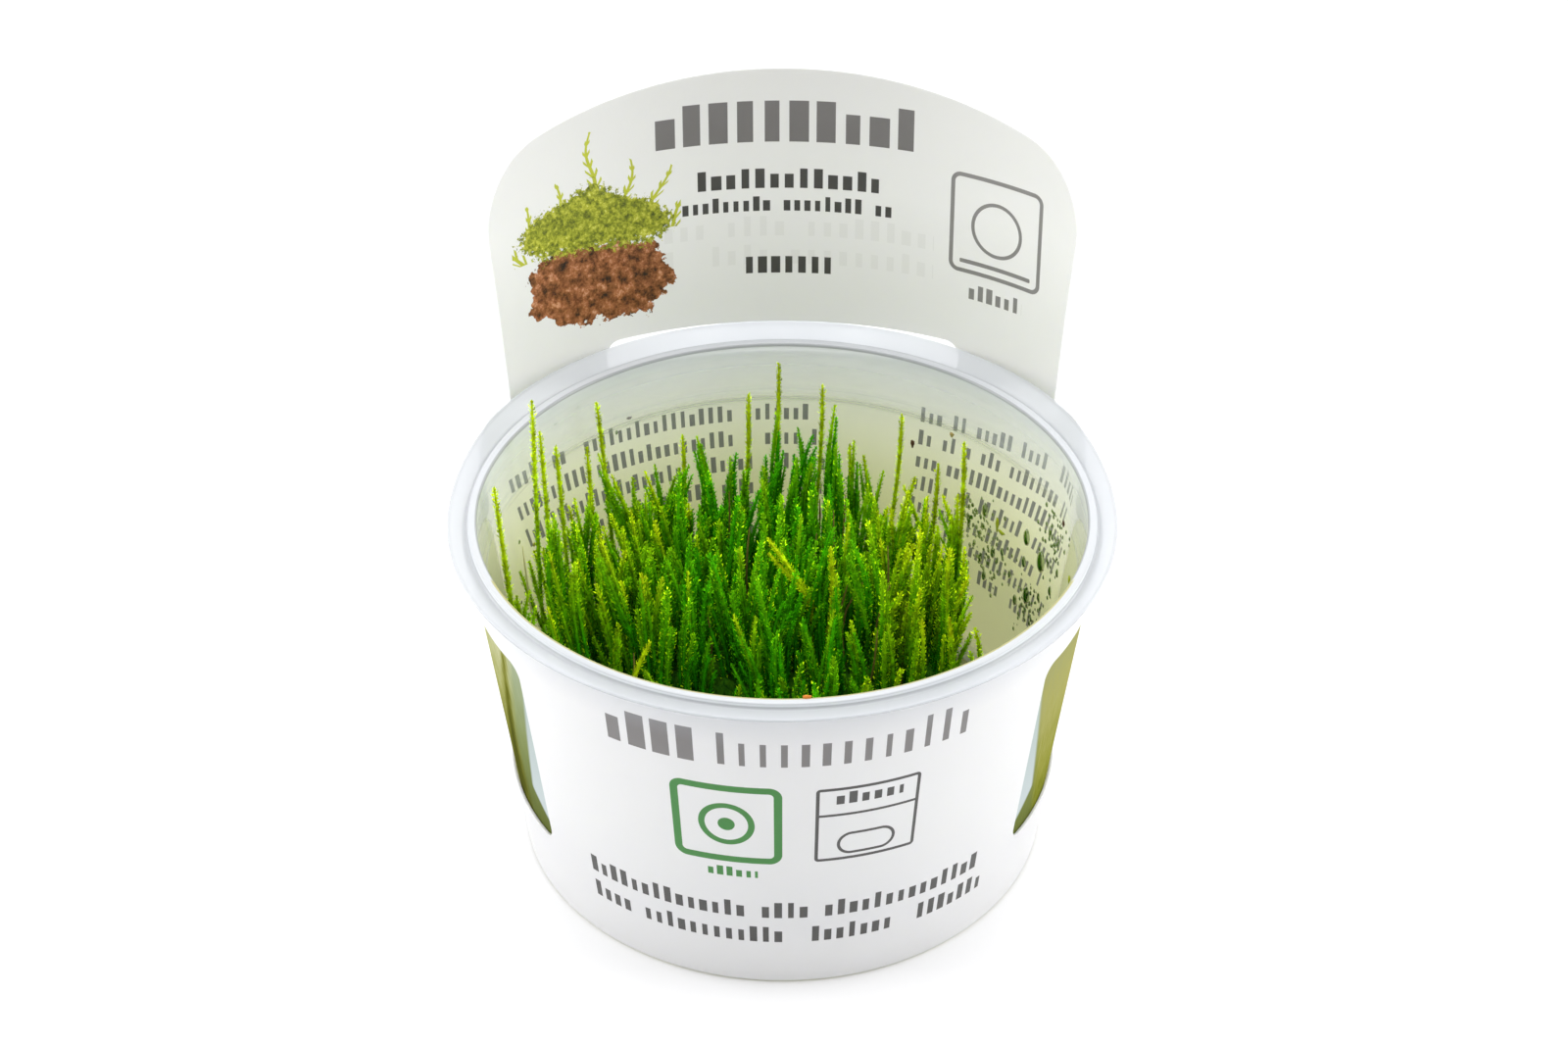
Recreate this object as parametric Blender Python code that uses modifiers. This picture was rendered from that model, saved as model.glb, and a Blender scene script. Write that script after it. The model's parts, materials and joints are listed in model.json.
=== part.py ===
"""Java moss in a clear tissue-culture cup with a die-cut sleeve.

The cup stands on its flat base. Its origin is the middle of that base, +Z is up, and the plain
front of the sleeve faces -Y. Each piece is one closed solid: the cup, the sleeve, the gel that
the moss grows on, the dense moss cushion, and the tall shoots that stand free round its edge.
"""
import math

import bmesh
import bpy
import numpy as np

MM = 0.001
GAP = 0.3 * MM

# Cup: a tapered wall, a stacking ring near the top, a low lip and a flat flange.
WALL_TAPER = 0.1128
CUP_BASE_RADIUS = 41.0 * MM
CUP_WALL = 0.7 * MM
CUP_FLOOR = 1.0 * MM
SHOULDER_HEIGHT = 46.3 * MM
RING_HEIGHT = 49.2 * MM
RING_INNER_RADIUS = 44.65 * MM
LIP_HEIGHT = 58.5 * MM
LIP_INNER_RADIUS = 45.75 * MM
FLANGE_RADIUS = 50.2 * MM
FLANGE_ROOT_RADIUS = 46.5 * MM
FLANGE_ROOT_HEIGHT = 57.45 * MM
FLANGE_EDGE_HEIGHT = 58.15 * MM
FLANGE_LIFT = 2.4 * MM
CUP_STEPS = 64

# Sleeve: one thin sheet, cut flat, rolled round the cup and glued, with a tall header behind.
SHEET = 0.4 * MM
SLEEVE_NOMINAL_RADIUS = 48.0 * MM
SLEEVE_BASE_RADIUS = CUP_BASE_RADIUS + GAP
SLEEVE_BOTTOM = 0.3 * MM
SLEEVE_TOP = 56.5 * MM
WINDOW_FRONT_AZIMUTH = 53.5
WINDOW_REAR_AZIMUTH = 100.0
WINDOW_BOTTOM = 13.8 * MM
WINDOW_TOP = 49.3 * MM
WINDOW_CORNER = 2.5 * MM
SLOT_HALF_LENGTH = 29.9 * MM
SLOT_BOTTOM = 55.4 * MM
SLOT_TOP = 61.0 * MM
SLOT_CORNER = 2.5 * MM
HEADER_RADIUS = 61.5 * MM
HEADER_OFFSET = 0.75 * MM
HEADER_HALF_WIDTH_BELOW = 48.3 * MM
HEADER_HALF_WIDTH_ABOVE = 51.0 * MM
HEADER_SHOULDER_HEIGHT = 89.0 * MM
HEADER_CORNER = 13.5 * MM
HEADER_TOP = 104.2 * MM
HEADER_ARCH_RADIUS = 165.0 * MM
FLATTEN_FROM = 24.0 * MM
FLATTEN_FADE = 16.0 * MM
SHEET_COLUMNS = 64
SHEET_WELD = 0.3 * MM
SHEET_ROWS = [-2.0 * MM, 14.0 * MM, 24.0 * MM, 33.0 * MM, 41.0 * MM, 49.0 * MM, 57.0 * MM,
              106.0 * MM]

# Gel and moss.
GEL_TOP = 7.0 * MM
GEL_MENISCUS = 0.5 * MM
MOSS_FOOT = GEL_TOP + GEL_MENISCUS + GAP
CUSHION_FOOT_RADIUS = 37.6 * MM
CUSHION_TOP_RADIUS = 39.2 * MM
CUSHION_RIGHT_EDGE = 29.0 * MM
CUSHION_BED = 30.0 * MM
CUSHION_CANOPY = 44.0 * MM
CUSHION_FRONT_DROP = 16.0 * MM
CUSHION_FRONT_SLOPE = 7.0 * MM
CUSHION_CELLS = 23
SHOOT_RADIUS = 0.55 * MM
SHOOT_FOOT_RADIUS = 39.7 * MM
SHOOT_POINTS = 7

# Tall shoots: azimuth of the foot in degrees (0 is the front, clockwise from above is negative),
# then the tip's X, Y and Z in millimetres.
TALL_SHOOTS = [
    (-94, -43.4, 2.0, 60.0),
    (-106, -38.6, 16.9, 66.0),
    (-115, -38.0, 19.6, 58.5),
    (-122, -36.0, 22.8, 53.5),
    (-131, -31.6, 28.6, 49.5),
    (-138, -29.8, 30.2, 57.0),
    (-156, -16.6, 39.0, 45.0),
    (-170, -5.6, 41.6, 51.3),
    (-177, -0.6, 42.0, 57.0),
    (173, 6.6, 41.5, 53.1),
    (164, 11.2, 40.6, 42.0),
    (155, 19.6, 37.2, 50.1),
    (144, 25.6, 33.4, 43.0),
    (134, 29.4, 30.0, 49.6),
]


def clear_scene():
    for thing in list(bpy.data.objects):
        bpy.data.objects.remove(thing, do_unlink=True)


def new_collection(name):
    collection = bpy.data.collections.new(name)
    bpy.context.scene.collection.children.link(collection)
    return collection


def material(name, color, roughness, alpha=1.0, transmission=0.0):
    made = bpy.data.materials.new(name)
    made.use_nodes = True
    shader = made.node_tree.nodes["Principled BSDF"]
    shader.inputs["Base Color"].default_value = (*color, 1.0)
    shader.inputs["Roughness"].default_value = roughness
    shader.inputs["Metallic"].default_value = 0.0
    shader.inputs["Transmission Weight"].default_value = transmission
    shader.inputs["Alpha"].default_value = alpha
    made.diffuse_color = (*color, alpha)
    return made


def smooth_step(value):
    """0 below 0, 1 above 1, and a smooth S between."""
    value = np.clip(value, 0.0, 1.0)
    return value * value * (3.0 - 2.0 * value)


def finish(obj, collection, look, sharp_degrees=35.0):
    """Puts the object in its collection with its material, shaded smooth but for sharp edges."""
    if obj.name not in collection.objects:
        collection.objects.link(obj)
    obj.data.materials.clear()
    obj.data.materials.append(look)
    if obj.type == "MESH":
        obj.data.shade_smooth()
        obj.data.set_sharp_from_angle(angle=math.radians(sharp_degrees))
    return obj


def evaluated_mesh(obj, name):
    """The object's mesh as its modifiers leave it, welded; the object itself is removed."""
    graph = bpy.context.evaluated_depsgraph_get()
    mesh = bpy.data.meshes.new_from_object(obj.evaluated_get(graph))
    mesh.name = name
    bpy.data.objects.remove(obj, do_unlink=True)
    work = bmesh.new()
    work.from_mesh(mesh)
    bmesh.ops.remove_doubles(work, verts=work.verts, dist=1e-6)
    work.to_mesh(mesh)
    work.free()
    return mesh


def turned(name, profile, steps):
    """A solid turned about Z from (radius, height) points: up the inner side, down the outer."""
    mesh = bpy.data.meshes.new(name + "_profile")
    edges = [(i, i + 1) for i in range(len(profile) - 1)]
    mesh.from_pydata([(radius, 0.0, height) for radius, height in profile], edges, [])
    obj = bpy.data.objects.new(name, mesh)
    bpy.context.scene.collection.objects.link(obj)
    screw = obj.modifiers.new("Turn", "SCREW")
    screw.axis = "Z"
    screw.angle = math.tau
    screw.steps = steps
    screw.render_steps = steps
    screw.use_merge_vertices = True
    screw.merge_threshold = 1e-6
    bpy.context.view_layer.update()
    return evaluated_mesh(obj, name)


def arc(center_x, center_y, radius, start_degrees, end_degrees, points):
    """Points along a round corner."""
    angles = np.radians(np.linspace(start_degrees, end_degrees, points))
    return [(center_x + radius * math.cos(a), center_y + radius * math.sin(a)) for a in angles]


def cup_outer_radius(height):
    return CUP_BASE_RADIUS + WALL_TAPER * height


def cup_profile():
    """(radius, height) from the middle of the floor, up inside, over the flange, down outside."""
    inner = CUP_WALL
    shoulder = cup_outer_radius(SHOULDER_HEIGHT)
    ring = RING_INNER_RADIUS
    foot_corner = 2.4 * MM
    floor_corner = 2.2 * MM
    floor_radius = cup_outer_radius(CUP_FLOOR + floor_corner) - inner - floor_corner
    base_radius = cup_outer_radius(foot_corner) - foot_corner
    profile = [(0.0, CUP_FLOOR)]
    profile += arc(floor_radius, CUP_FLOOR + floor_corner, floor_corner, -90, 0, 5)
    profile += [
        (shoulder - inner, SHOULDER_HEIGHT),
        (shoulder - inner - 0.15 * MM, SHOULDER_HEIGHT + 1.2 * MM),
        (ring + 0.25 * MM, RING_HEIGHT - 0.5 * MM),
        (ring, RING_HEIGHT),
        (LIP_INNER_RADIUS - 0.03 * MM, LIP_HEIGHT - 0.25 * MM),
    ]
    profile += arc(LIP_INNER_RADIUS + 0.22 * MM, LIP_HEIGHT - 0.22 * MM, 0.22 * MM, 150, 30, 4)
    profile += [
        (FLANGE_ROOT_RADIUS, FLANGE_ROOT_HEIGHT + 0.1 * MM),
        (FLANGE_ROOT_RADIUS + 0.35 * MM, FLANGE_ROOT_HEIGHT),
        (FLANGE_RADIUS - 0.3 * MM, FLANGE_EDGE_HEIGHT),
        (FLANGE_RADIUS, FLANGE_EDGE_HEIGHT - 0.25 * MM),
        (FLANGE_RADIUS - 0.15 * MM, FLANGE_EDGE_HEIGHT - 0.6 * MM),
        (FLANGE_ROOT_RADIUS + 0.5 * MM, FLANGE_ROOT_HEIGHT - 0.65 * MM),
        (FLANGE_ROOT_RADIUS, FLANGE_ROOT_HEIGHT - 1.0 * MM),
        (ring + inner, RING_HEIGHT),
        (ring + inner + 0.25 * MM, RING_HEIGHT - 0.7 * MM),
        (shoulder - 0.15 * MM, SHOULDER_HEIGHT + 1.4 * MM),
        (shoulder, SHOULDER_HEIGHT),
    ]
    profile += arc(base_radius, foot_corner, foot_corner, 0, -90, 6)
    profile += [(0.0, 0.0)]
    return profile


def flange_lift(x, y, radius):
    """How far the flange is bent up behind, where it goes through the sleeve's slot."""
    behind = np.degrees(np.arctan2(np.abs(x), -y))
    turn = smooth_step((behind - 85.0) / 40.0)
    reach = np.clip((radius - FLANGE_ROOT_RADIUS) / (FLANGE_RADIUS - FLANGE_ROOT_RADIUS), 0, 1)
    return FLANGE_LIFT * turn * reach


def make_cup(collection):
    mesh = turned("cup", cup_profile(), CUP_STEPS)
    points = np.empty(len(mesh.vertices) * 3, np.float32)
    mesh.vertices.foreach_get("co", points)
    points = points.reshape(-1, 3)
    radius = np.hypot(points[:, 0], points[:, 1])
    points[:, 2] += flange_lift(points[:, 0], points[:, 1], radius)
    mesh.vertices.foreach_set("co", points.ravel())
    look = material("clear_plastic", (0.86, 0.88, 0.89), 0.12, 0.35, 0.8)
    return finish(bpy.data.objects.new("cup", mesh), collection, look)


def flat_shape(name, outlines, half_thickness, collection):
    """A plate cut from closed outlines: the first is its edge, the others are holes."""
    curve = bpy.data.curves.new(name, "CURVE")
    curve.dimensions = "2D"
    curve.fill_mode = "BOTH"
    curve.extrude = half_thickness
    for outline in outlines:
        spline = curve.splines.new("POLY")
        spline.points.add(len(outline) - 1)
        for point, (x, y) in zip(spline.points, outline):
            point.co = (x, y, 0.0, 1.0)
        spline.use_cyclic_u = True
    obj = bpy.data.objects.new(name, curve)
    collection.objects.link(obj)
    bpy.context.view_layer.update()
    mesh = evaluated_mesh(obj, name)
    cutter = bpy.data.objects.new(name, mesh)
    collection.objects.link(cutter)
    cutter.hide_render = True
    cutter.display_type = "WIRE"
    return cutter


def rounded_box(left, bottom, right, top, corner, points=5):
    outline = arc(right - corner, bottom + corner, corner, -90, 0, points)
    outline += arc(right - corner, top - corner, corner, 0, 90, points)
    outline += arc(left + corner, top - corner, corner, 90, 180, points)
    outline += arc(left + corner, bottom + corner, corner, 180, 270, points)
    return outline


def header_outline():
    """The header's edge, from its right foot over the arch to its left foot."""
    half = HEADER_HALF_WIDTH_ABOVE
    corner = HEADER_CORNER
    sweep = math.asin((half - corner) / (HEADER_ARCH_RADIUS - corner))
    arch_center = HEADER_TOP - HEADER_ARCH_RADIUS
    corner_y = arch_center + (HEADER_ARCH_RADIUS - corner) * math.cos(sweep)
    right = [(HEADER_HALF_WIDTH_BELOW, SLEEVE_TOP)]
    right += arc(half - corner, corner_y, corner, 0, 90 - math.degrees(sweep), 8)
    arch = arc(0.0, arch_center, HEADER_ARCH_RADIUS, 90 - math.degrees(sweep),
               90 + math.degrees(sweep), 13)[1:-1]
    left = [(-x, y) for x, y in reversed(right)]
    return right + arch + left


def sleeve_outlines():
    """The flat blank's edge and holes, along the roll (0 is the middle of the back) and up."""
    half = math.pi * SLEEVE_NOMINAL_RADIUS
    beyond = half + 2.0 * MM
    edge = [(-beyond, SLEEVE_BOTTOM), (beyond, SLEEVE_BOTTOM), (beyond, SLEEVE_TOP)]
    edge += header_outline()
    edge += [(-beyond, SLEEVE_TOP)]
    window_front = math.radians(180.0 - WINDOW_FRONT_AZIMUTH) * SLEEVE_NOMINAL_RADIUS
    window_rear = math.radians(180.0 - WINDOW_REAR_AZIMUTH) * SLEEVE_NOMINAL_RADIUS
    window = rounded_box(window_rear, WINDOW_BOTTOM, window_front, WINDOW_TOP, WINDOW_CORNER)
    other_window = [(-x, y) for x, y in reversed(window)]
    slot = rounded_box(-SLOT_HALF_LENGTH, SLOT_BOTTOM, SLOT_HALF_LENGTH, SLOT_TOP, SLOT_CORNER)
    return [edge, window, other_window, slot]


def rolled(along, height, out):
    """The rolled place of a point of the blank: `along` the roll, up, and `out` from its inner
    face. Most of it is a cone that fits the cup; the back opens into the header's flatter curve."""
    turn = along / SLEEVE_NOMINAL_RADIUS
    cone = SLEEVE_BASE_RADIUS + WALL_TAPER * height + out
    cone_x, cone_y = cone * np.sin(turn), cone * np.cos(turn)
    bend = along / HEADER_RADIUS
    middle = SLEEVE_BASE_RADIUS + HEADER_OFFSET + WALL_TAPER * height
    flat_x = (HEADER_RADIUS + out) * np.sin(bend)
    flat_y = middle - HEADER_RADIUS + (HEADER_RADIUS + out) * np.cos(bend)
    rise = smooth_step((height - FLATTEN_FROM) / (57.0 * MM - FLATTEN_FROM))
    fade = 1.0 - smooth_step((np.abs(along) - 50.0 * MM) / FLATTEN_FADE)
    share = rise * fade
    return cone_x + (flat_x - cone_x) * share, cone_y + (flat_y - cone_y) * share


def make_sleeve(collection, cutters):
    """A plate is cut to the blank's outline and holes, then rolled up and joined at the front."""
    half = math.pi * SLEEVE_NOMINAL_RADIUS
    work = bmesh.new()
    bmesh.ops.create_grid(work, x_segments=SHEET_COLUMNS, y_segments=len(SHEET_ROWS) - 1, size=1.0)
    for vert in work.verts:
        row = round((vert.co.y + 1.0) / 2.0 * (len(SHEET_ROWS) - 1))
        vert.co = (vert.co.x * half, SHEET_ROWS[row], 0.0)
    plate_mesh = bpy.data.meshes.new("plate")
    work.to_mesh(plate_mesh)
    work.free()
    plate = bpy.data.objects.new("plate", plate_mesh)
    bpy.context.scene.collection.objects.link(plate)
    thicken = plate.modifiers.new("Sheet", "SOLIDIFY")
    thicken.thickness = SHEET
    thicken.offset = 1.0
    die = flat_shape("sleeve_die", sleeve_outlines(), 2.0 * MM, cutters)
    cut = plate.modifiers.new("Die", "BOOLEAN")
    cut.operation = "INTERSECT"
    cut.object = die
    bpy.context.view_layer.update()
    mesh = evaluated_mesh(plate, "label_sleeve")

    work = bmesh.new()
    work.from_mesh(mesh)
    ends = [face for face in work.faces if all(abs(v.co.x) > half - 1e-6 for v in face.verts)]
    bmesh.ops.delete(work, geom=ends, context="FACES")
    bmesh.ops.remove_doubles(work, verts=work.verts, dist=SHEET_WELD)
    bmesh.ops.dissolve_degenerate(work, edges=work.edges, dist=0.2 * SHEET_WELD)
    bmesh.ops.triangulate(work, faces=work.faces, quad_method="BEAUTY", ngon_method="BEAUTY")
    for vert in work.verts:
        x, y = rolled(np.float64(vert.co.x), np.float64(vert.co.y), np.float64(vert.co.z))
        vert.co = (x, y, vert.co.y)
    bmesh.ops.remove_doubles(work, verts=work.verts, dist=5e-6)
    bmesh.ops.recalc_face_normals(work, faces=work.faces)
    work.to_mesh(mesh)
    work.free()
    look = material("printed_sheet", (0.82, 0.83, 0.82), 0.45)
    return finish(bpy.data.objects.new("label_sleeve", mesh), collection, look)


def make_gel(collection):
    """The clear nutrient gel: a disc that fills the cup's floor, with a low meniscus."""
    def inner(height):
        return cup_outer_radius(height) - CUP_WALL - GAP

    floor = CUP_FLOOR + GAP
    corner = 2.3 * MM
    profile = [(0.0, GEL_TOP), (inner(GEL_TOP) - 2.0 * MM, GEL_TOP)]
    profile += [(inner(GEL_TOP) - 0.2 * MM, GEL_TOP + GEL_MENISCUS)]
    profile += [(inner(GEL_TOP), GEL_TOP + 0.6 * GEL_MENISCUS)]
    profile += arc(inner(floor + corner) - corner, floor + corner, corner, 0, -90, 4)
    profile += [(0.0, floor)]
    mesh = turned("growth_gel", profile, 48)
    look = material("gel", (0.72, 0.74, 0.52), 0.15, 0.6, 0.5)
    return finish(bpy.data.objects.new("growth_gel", mesh), collection, look)


def cushion_place(u, v, top_share):
    """Carries the square grid (u, v from -1 to 1) onto the cushion's round plan, flat on the right."""
    radius = CUSHION_FOOT_RADIUS + (CUSHION_TOP_RADIUS - CUSHION_FOOT_RADIUS) * top_share
    x = radius * u * np.sqrt(1.0 - 0.5 * v * v)
    y = radius * v * np.sqrt(1.0 - 0.5 * u * u)
    edge = CUSHION_RIGHT_EDGE
    squeezed = np.where(x > 0.0, edge * (x / radius) * (1.0 + 0.06 * (y / radius) ** 2), x)
    return squeezed, y


def front_drop(y):
    """How much lower the clump is here: nothing behind, and its whole drop near the front."""
    return CUSHION_FRONT_DROP * smooth_step(-y / CUSHION_FRONT_SLOPE)


def canopy(x, y):
    """Height of the moss tips: a gently rolling top, a little lower to the right, low in front."""
    roll = 1.6 * np.sin(0.15 * x / MM + 0.7) + 1.3 * np.cos(0.13 * y / MM - 0.4)
    return CUSHION_CANOPY + (roll - 0.05 * np.maximum(x / MM, 0.0)) * MM - front_drop(y)


def make_cushion(collection):
    """The dense moss: one clump whose top face is poked up, cell by cell, into shoot tips."""
    cells = CUSHION_CELLS
    rng = np.random.default_rng(11)
    work = bmesh.new()
    bmesh.ops.create_grid(work, x_segments=cells, y_segments=cells, size=1.0)
    for vert in work.verts:
        u, v = vert.co.x, vert.co.y
        inside = abs(u) < 0.99 and abs(v) < 0.99
        if inside:
            u += rng.uniform(-0.28, 0.28) / cells
            v += rng.uniform(-0.28, 0.28) / cells
        x, y = cushion_place(u, v, 1.0)
        sink = 2.0 * MM * rng.uniform(-1.0, 1.0)
        vert.co = (x, y, CUSHION_BED - 0.8 * front_drop(y) + sink)
    top = list(work.faces)
    grown = bmesh.ops.extrude_face_region(work, geom=top)
    lower = [item for item in grown["geom"] if isinstance(item, bmesh.types.BMVert)]
    base_scale = CUSHION_FOOT_RADIUS / CUSHION_TOP_RADIUS
    for vert in lower:
        vert.co = (vert.co.x * base_scale, vert.co.y * base_scale, MOSS_FOOT)
    base = [item for item in grown["geom"] if isinstance(item, bmesh.types.BMFace)]
    bmesh.ops.dissolve_faces(work, faces=base)
    poked = bmesh.ops.poke(work, faces=[f for f in top if f.is_valid], offset=0.0)
    for vert in poked["verts"]:
        x, y = vert.co.x, vert.co.y
        tall = 8.0 * MM * max(0.0, rng.uniform(-2.0, 1.0)) ** 2
        tip = canopy(x, y) + rng.uniform(-3.5, 3.0) * MM + tall
        fan = 0.045
        vert.co = (x * (1.0 + fan) + rng.uniform(-0.5, 0.5) * MM,
                   y * (1.0 + 0.5 * fan) + rng.uniform(-0.5, 0.5) * MM, tip)
    bmesh.ops.recalc_face_normals(work, faces=work.faces)
    if work.calc_volume(signed=True) < 0.0:
        bmesh.ops.reverse_faces(work, faces=work.faces)
    mesh = bpy.data.meshes.new("moss_cushion")
    work.to_mesh(mesh)
    work.free()
    look = material("moss", (0.11, 0.27, 0.015), 0.6)
    return finish(bpy.data.objects.new("moss_cushion", mesh), collection, look, 180.0)


def make_shoot(number, azimuth, tip, collection, look):
    """A tall shoot: a tapered tube from the gel to its tip, bowed a little outwards."""
    turn = math.radians(azimuth)
    foot = np.array([math.sin(turn), -math.cos(turn), 0.0]) * SHOOT_FOOT_RADIUS
    foot[2] = MOSS_FOOT + 0.2 * MM
    curve = bpy.data.curves.new("shoot_path", "CURVE")
    curve.dimensions = "3D"
    curve.bevel_depth = SHOOT_RADIUS
    curve.bevel_resolution = 1
    curve.use_fill_caps = True
    spline = curve.splines.new("POLY")
    spline.points.add(SHOOT_POINTS - 1)
    outward = foot / np.hypot(foot[0], foot[1]) * np.array([1.0, 1.0, 0.0])
    for step, point in enumerate(spline.points):
        t = step / (SHOOT_POINTS - 1)
        place = foot + (tip - foot) * t + outward * (0.5 * MM * math.sin(math.pi * t))
        point.co = (*place, 1.0)
        point.radius = 1.0 - 0.72 * t ** 3
    obj = bpy.data.objects.new(f"moss_shoot_{number:02d}", curve)
    return finish(obj, collection, look)


def make_shoots(collection):
    look = material("moss_tips", (0.30, 0.42, 0.02), 0.6)
    for number, (azimuth, x, y, z) in enumerate(TALL_SHOOTS, 1):
        make_shoot(number, azimuth, np.array([x, y, z]) * MM, collection, look)


def main():
    clear_scene()
    parts = new_collection("java_moss_cup")
    cutters = new_collection("cutters")
    make_cup(parts)
    make_sleeve(parts, cutters)
    make_gel(parts)
    make_cushion(parts)
    make_shoots(parts)
    bpy.context.view_layer.update()


main()
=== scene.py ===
"""Java moss in a clear culture cup with a die-cut printed sleeve.

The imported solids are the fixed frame. This file dresses them: a clear moulded cup with condensation
on its wall, a printed sheet rolled round it, gel on the floor and a dense stand of leafy shoots.
Lengths are metres, +Z is up, and the sleeve's curved front faces -Y.
"""
import math

import bmesh
import bpy
import numpy as np
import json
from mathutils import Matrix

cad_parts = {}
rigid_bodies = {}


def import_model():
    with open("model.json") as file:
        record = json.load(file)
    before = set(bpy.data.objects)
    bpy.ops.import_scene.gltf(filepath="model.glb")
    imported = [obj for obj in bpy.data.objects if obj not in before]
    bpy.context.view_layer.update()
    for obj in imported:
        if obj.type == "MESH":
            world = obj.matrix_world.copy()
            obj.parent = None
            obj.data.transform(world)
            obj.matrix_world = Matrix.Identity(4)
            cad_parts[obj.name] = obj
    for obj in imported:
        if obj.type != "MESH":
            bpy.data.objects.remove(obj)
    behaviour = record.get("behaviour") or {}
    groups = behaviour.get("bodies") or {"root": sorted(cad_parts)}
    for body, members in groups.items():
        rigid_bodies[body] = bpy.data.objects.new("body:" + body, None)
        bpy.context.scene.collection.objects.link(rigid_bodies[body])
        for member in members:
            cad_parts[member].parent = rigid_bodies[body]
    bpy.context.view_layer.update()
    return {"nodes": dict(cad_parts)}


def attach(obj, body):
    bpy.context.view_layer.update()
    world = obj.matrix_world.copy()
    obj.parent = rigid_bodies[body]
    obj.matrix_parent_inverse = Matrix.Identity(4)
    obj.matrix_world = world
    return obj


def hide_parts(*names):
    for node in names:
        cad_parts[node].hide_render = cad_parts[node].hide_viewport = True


bl_info = {
    "name": "Java moss in a culture cup",
    "version": (1, 0, 0),
    "blender": (4, 5, 0),
    "location": "View3D > Sidebar > Java Moss",
    "description": "Dresses a culture cup with its printed sleeve, gel and leafy moss",
    "category": "Add Mesh",
}

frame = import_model()

MM = 0.001
# The cup's wall leans out by this share of its height. The sleeve's flat blank is laid out on the
# nominal radius in millimetres, so half of it is this long from the middle of the back.
TAPER = 0.1128
NOMINAL = 48.0
HALF_ROLL = math.pi * NOMINAL


# Numbers and meshes

def smooth_step(value):
    """0 below 0, 1 above 1, and a smooth S between."""
    value = np.clip(value, 0.0, 1.0)
    return value * value * (3.0 - 2.0 * value)


def rise(value, low, high):
    """A smooth S from 0 where the value is low to 1 where it is high."""
    return smooth_step((value - low) / (high - low))


def unit(vectors):
    """The vectors at length 1."""
    return vectors / np.maximum(np.linalg.norm(vectors, axis=-1, keepdims=True), 1e-12)


def grid_faces(rows, columns, wrap=False):
    """The quads of a grid of points, row by row. With wrap the last column joins the first."""
    across = columns if wrap else columns - 1
    row = np.arange(rows - 1)[:, None] * columns
    here = np.arange(across)[None, :]
    there = (here + 1) % columns
    corners = (row + here, row + there, row + columns + there, row + columns + here)
    return np.stack(corners, axis=-1).reshape(-1, 4)


def round_place(radius, angle, height):
    """Points at a radius and a height, at angles round from the front towards the right."""
    parts = np.broadcast_arrays(radius * np.sin(angle), -radius * np.cos(angle), height)
    return np.stack(parts, axis=-1)


def new_object(name, data):
    """Puts a mesh, curve, light or camera in the scene."""
    thing = bpy.data.objects.new(name, data)
    bpy.context.scene.collection.objects.link(thing)
    return thing


def new_mesh(name, points, faces):
    """A mesh from arrays: points in metres, and faces that all have the same number of corners."""
    mesh = bpy.data.meshes.new(name)
    count, corners = faces.shape
    mesh.vertices.add(len(points))
    mesh.vertices.foreach_set("co", np.asarray(points, np.float32).ravel())
    mesh.loops.add(count * corners)
    mesh.loops.foreach_set("vertex_index", np.asarray(faces, np.int32).ravel())
    mesh.polygons.add(count)
    mesh.polygons.foreach_set("loop_start", np.arange(count, dtype=np.int32) * corners)
    mesh.update(calc_edges=True)
    return mesh


def turned_mesh(name, profile, steps, lift=None):
    """A closed profile of radius and height in millimetres, turned round the upright axis. Lift
    is a function of x and y that says how far a point rises."""
    angles = np.linspace(0.0, math.tau, steps, endpoint=False)
    points = round_place(profile[:, :1], angles, profile[:, 1:])
    if lift:
        points[..., 2] += lift(points[..., 0], points[..., 1])
    mesh = new_mesh(name, points.reshape(-1, 3) * MM, grid_faces(len(profile), steps, True))
    weld(mesh)
    return mesh


def put_values(mesh, name, values):
    """Stores one number for each point, for the material to read."""
    stored = mesh.attributes.new(name, "FLOAT", "POINT")
    stored.data.foreach_set("value", np.asarray(values, np.float32).ravel())


def numbers_of(items, name, kind=np.float32, width=1):
    """One property of all the items, as a flat array."""
    numbers = np.empty(len(items) * width, kind)
    items.foreach_get(name, numbers)
    return numbers


def points_of(mesh):
    return numbers_of(mesh.vertices, "co", width=3).reshape(-1, 3).astype(float)


def weld(mesh, distance=1e-6):
    """Joins points that lie together, such as a pole's, and turns the faces outwards."""
    work = bmesh.new()
    work.from_mesh(mesh)
    bmesh.ops.remove_doubles(work, verts=work.verts, dist=distance)
    bmesh.ops.dissolve_degenerate(work, edges=work.edges, dist=0.1 * distance)
    bmesh.ops.recalc_face_normals(work, faces=work.faces)
    if work.calc_volume(signed=True) < 0.0:
        bmesh.ops.reverse_faces(work, faces=work.faces)
    work.to_mesh(mesh)
    work.free()


def add_piece(mesh, look, stands_for=(), sharp=None):
    """Makes the mesh a piece that rides on the part, with its material."""
    piece = new_object(mesh.name, mesh)
    mesh.materials.append(look)
    mesh.shade_smooth()
    if sharp is not None:
        mesh.set_sharp_from_angle(angle=math.radians(sharp))
    if stands_for:
        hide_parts(*stands_for)
    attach(piece, "root")


def cad_points(node):
    """The solid's own corners in millimetres, each once."""
    points = points_of(frame["nodes"][node].data) / MM
    return np.unique(np.round(points, 3), axis=0)


# Materials

BLACK = (0.0, 0.0, 0.0)


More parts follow.
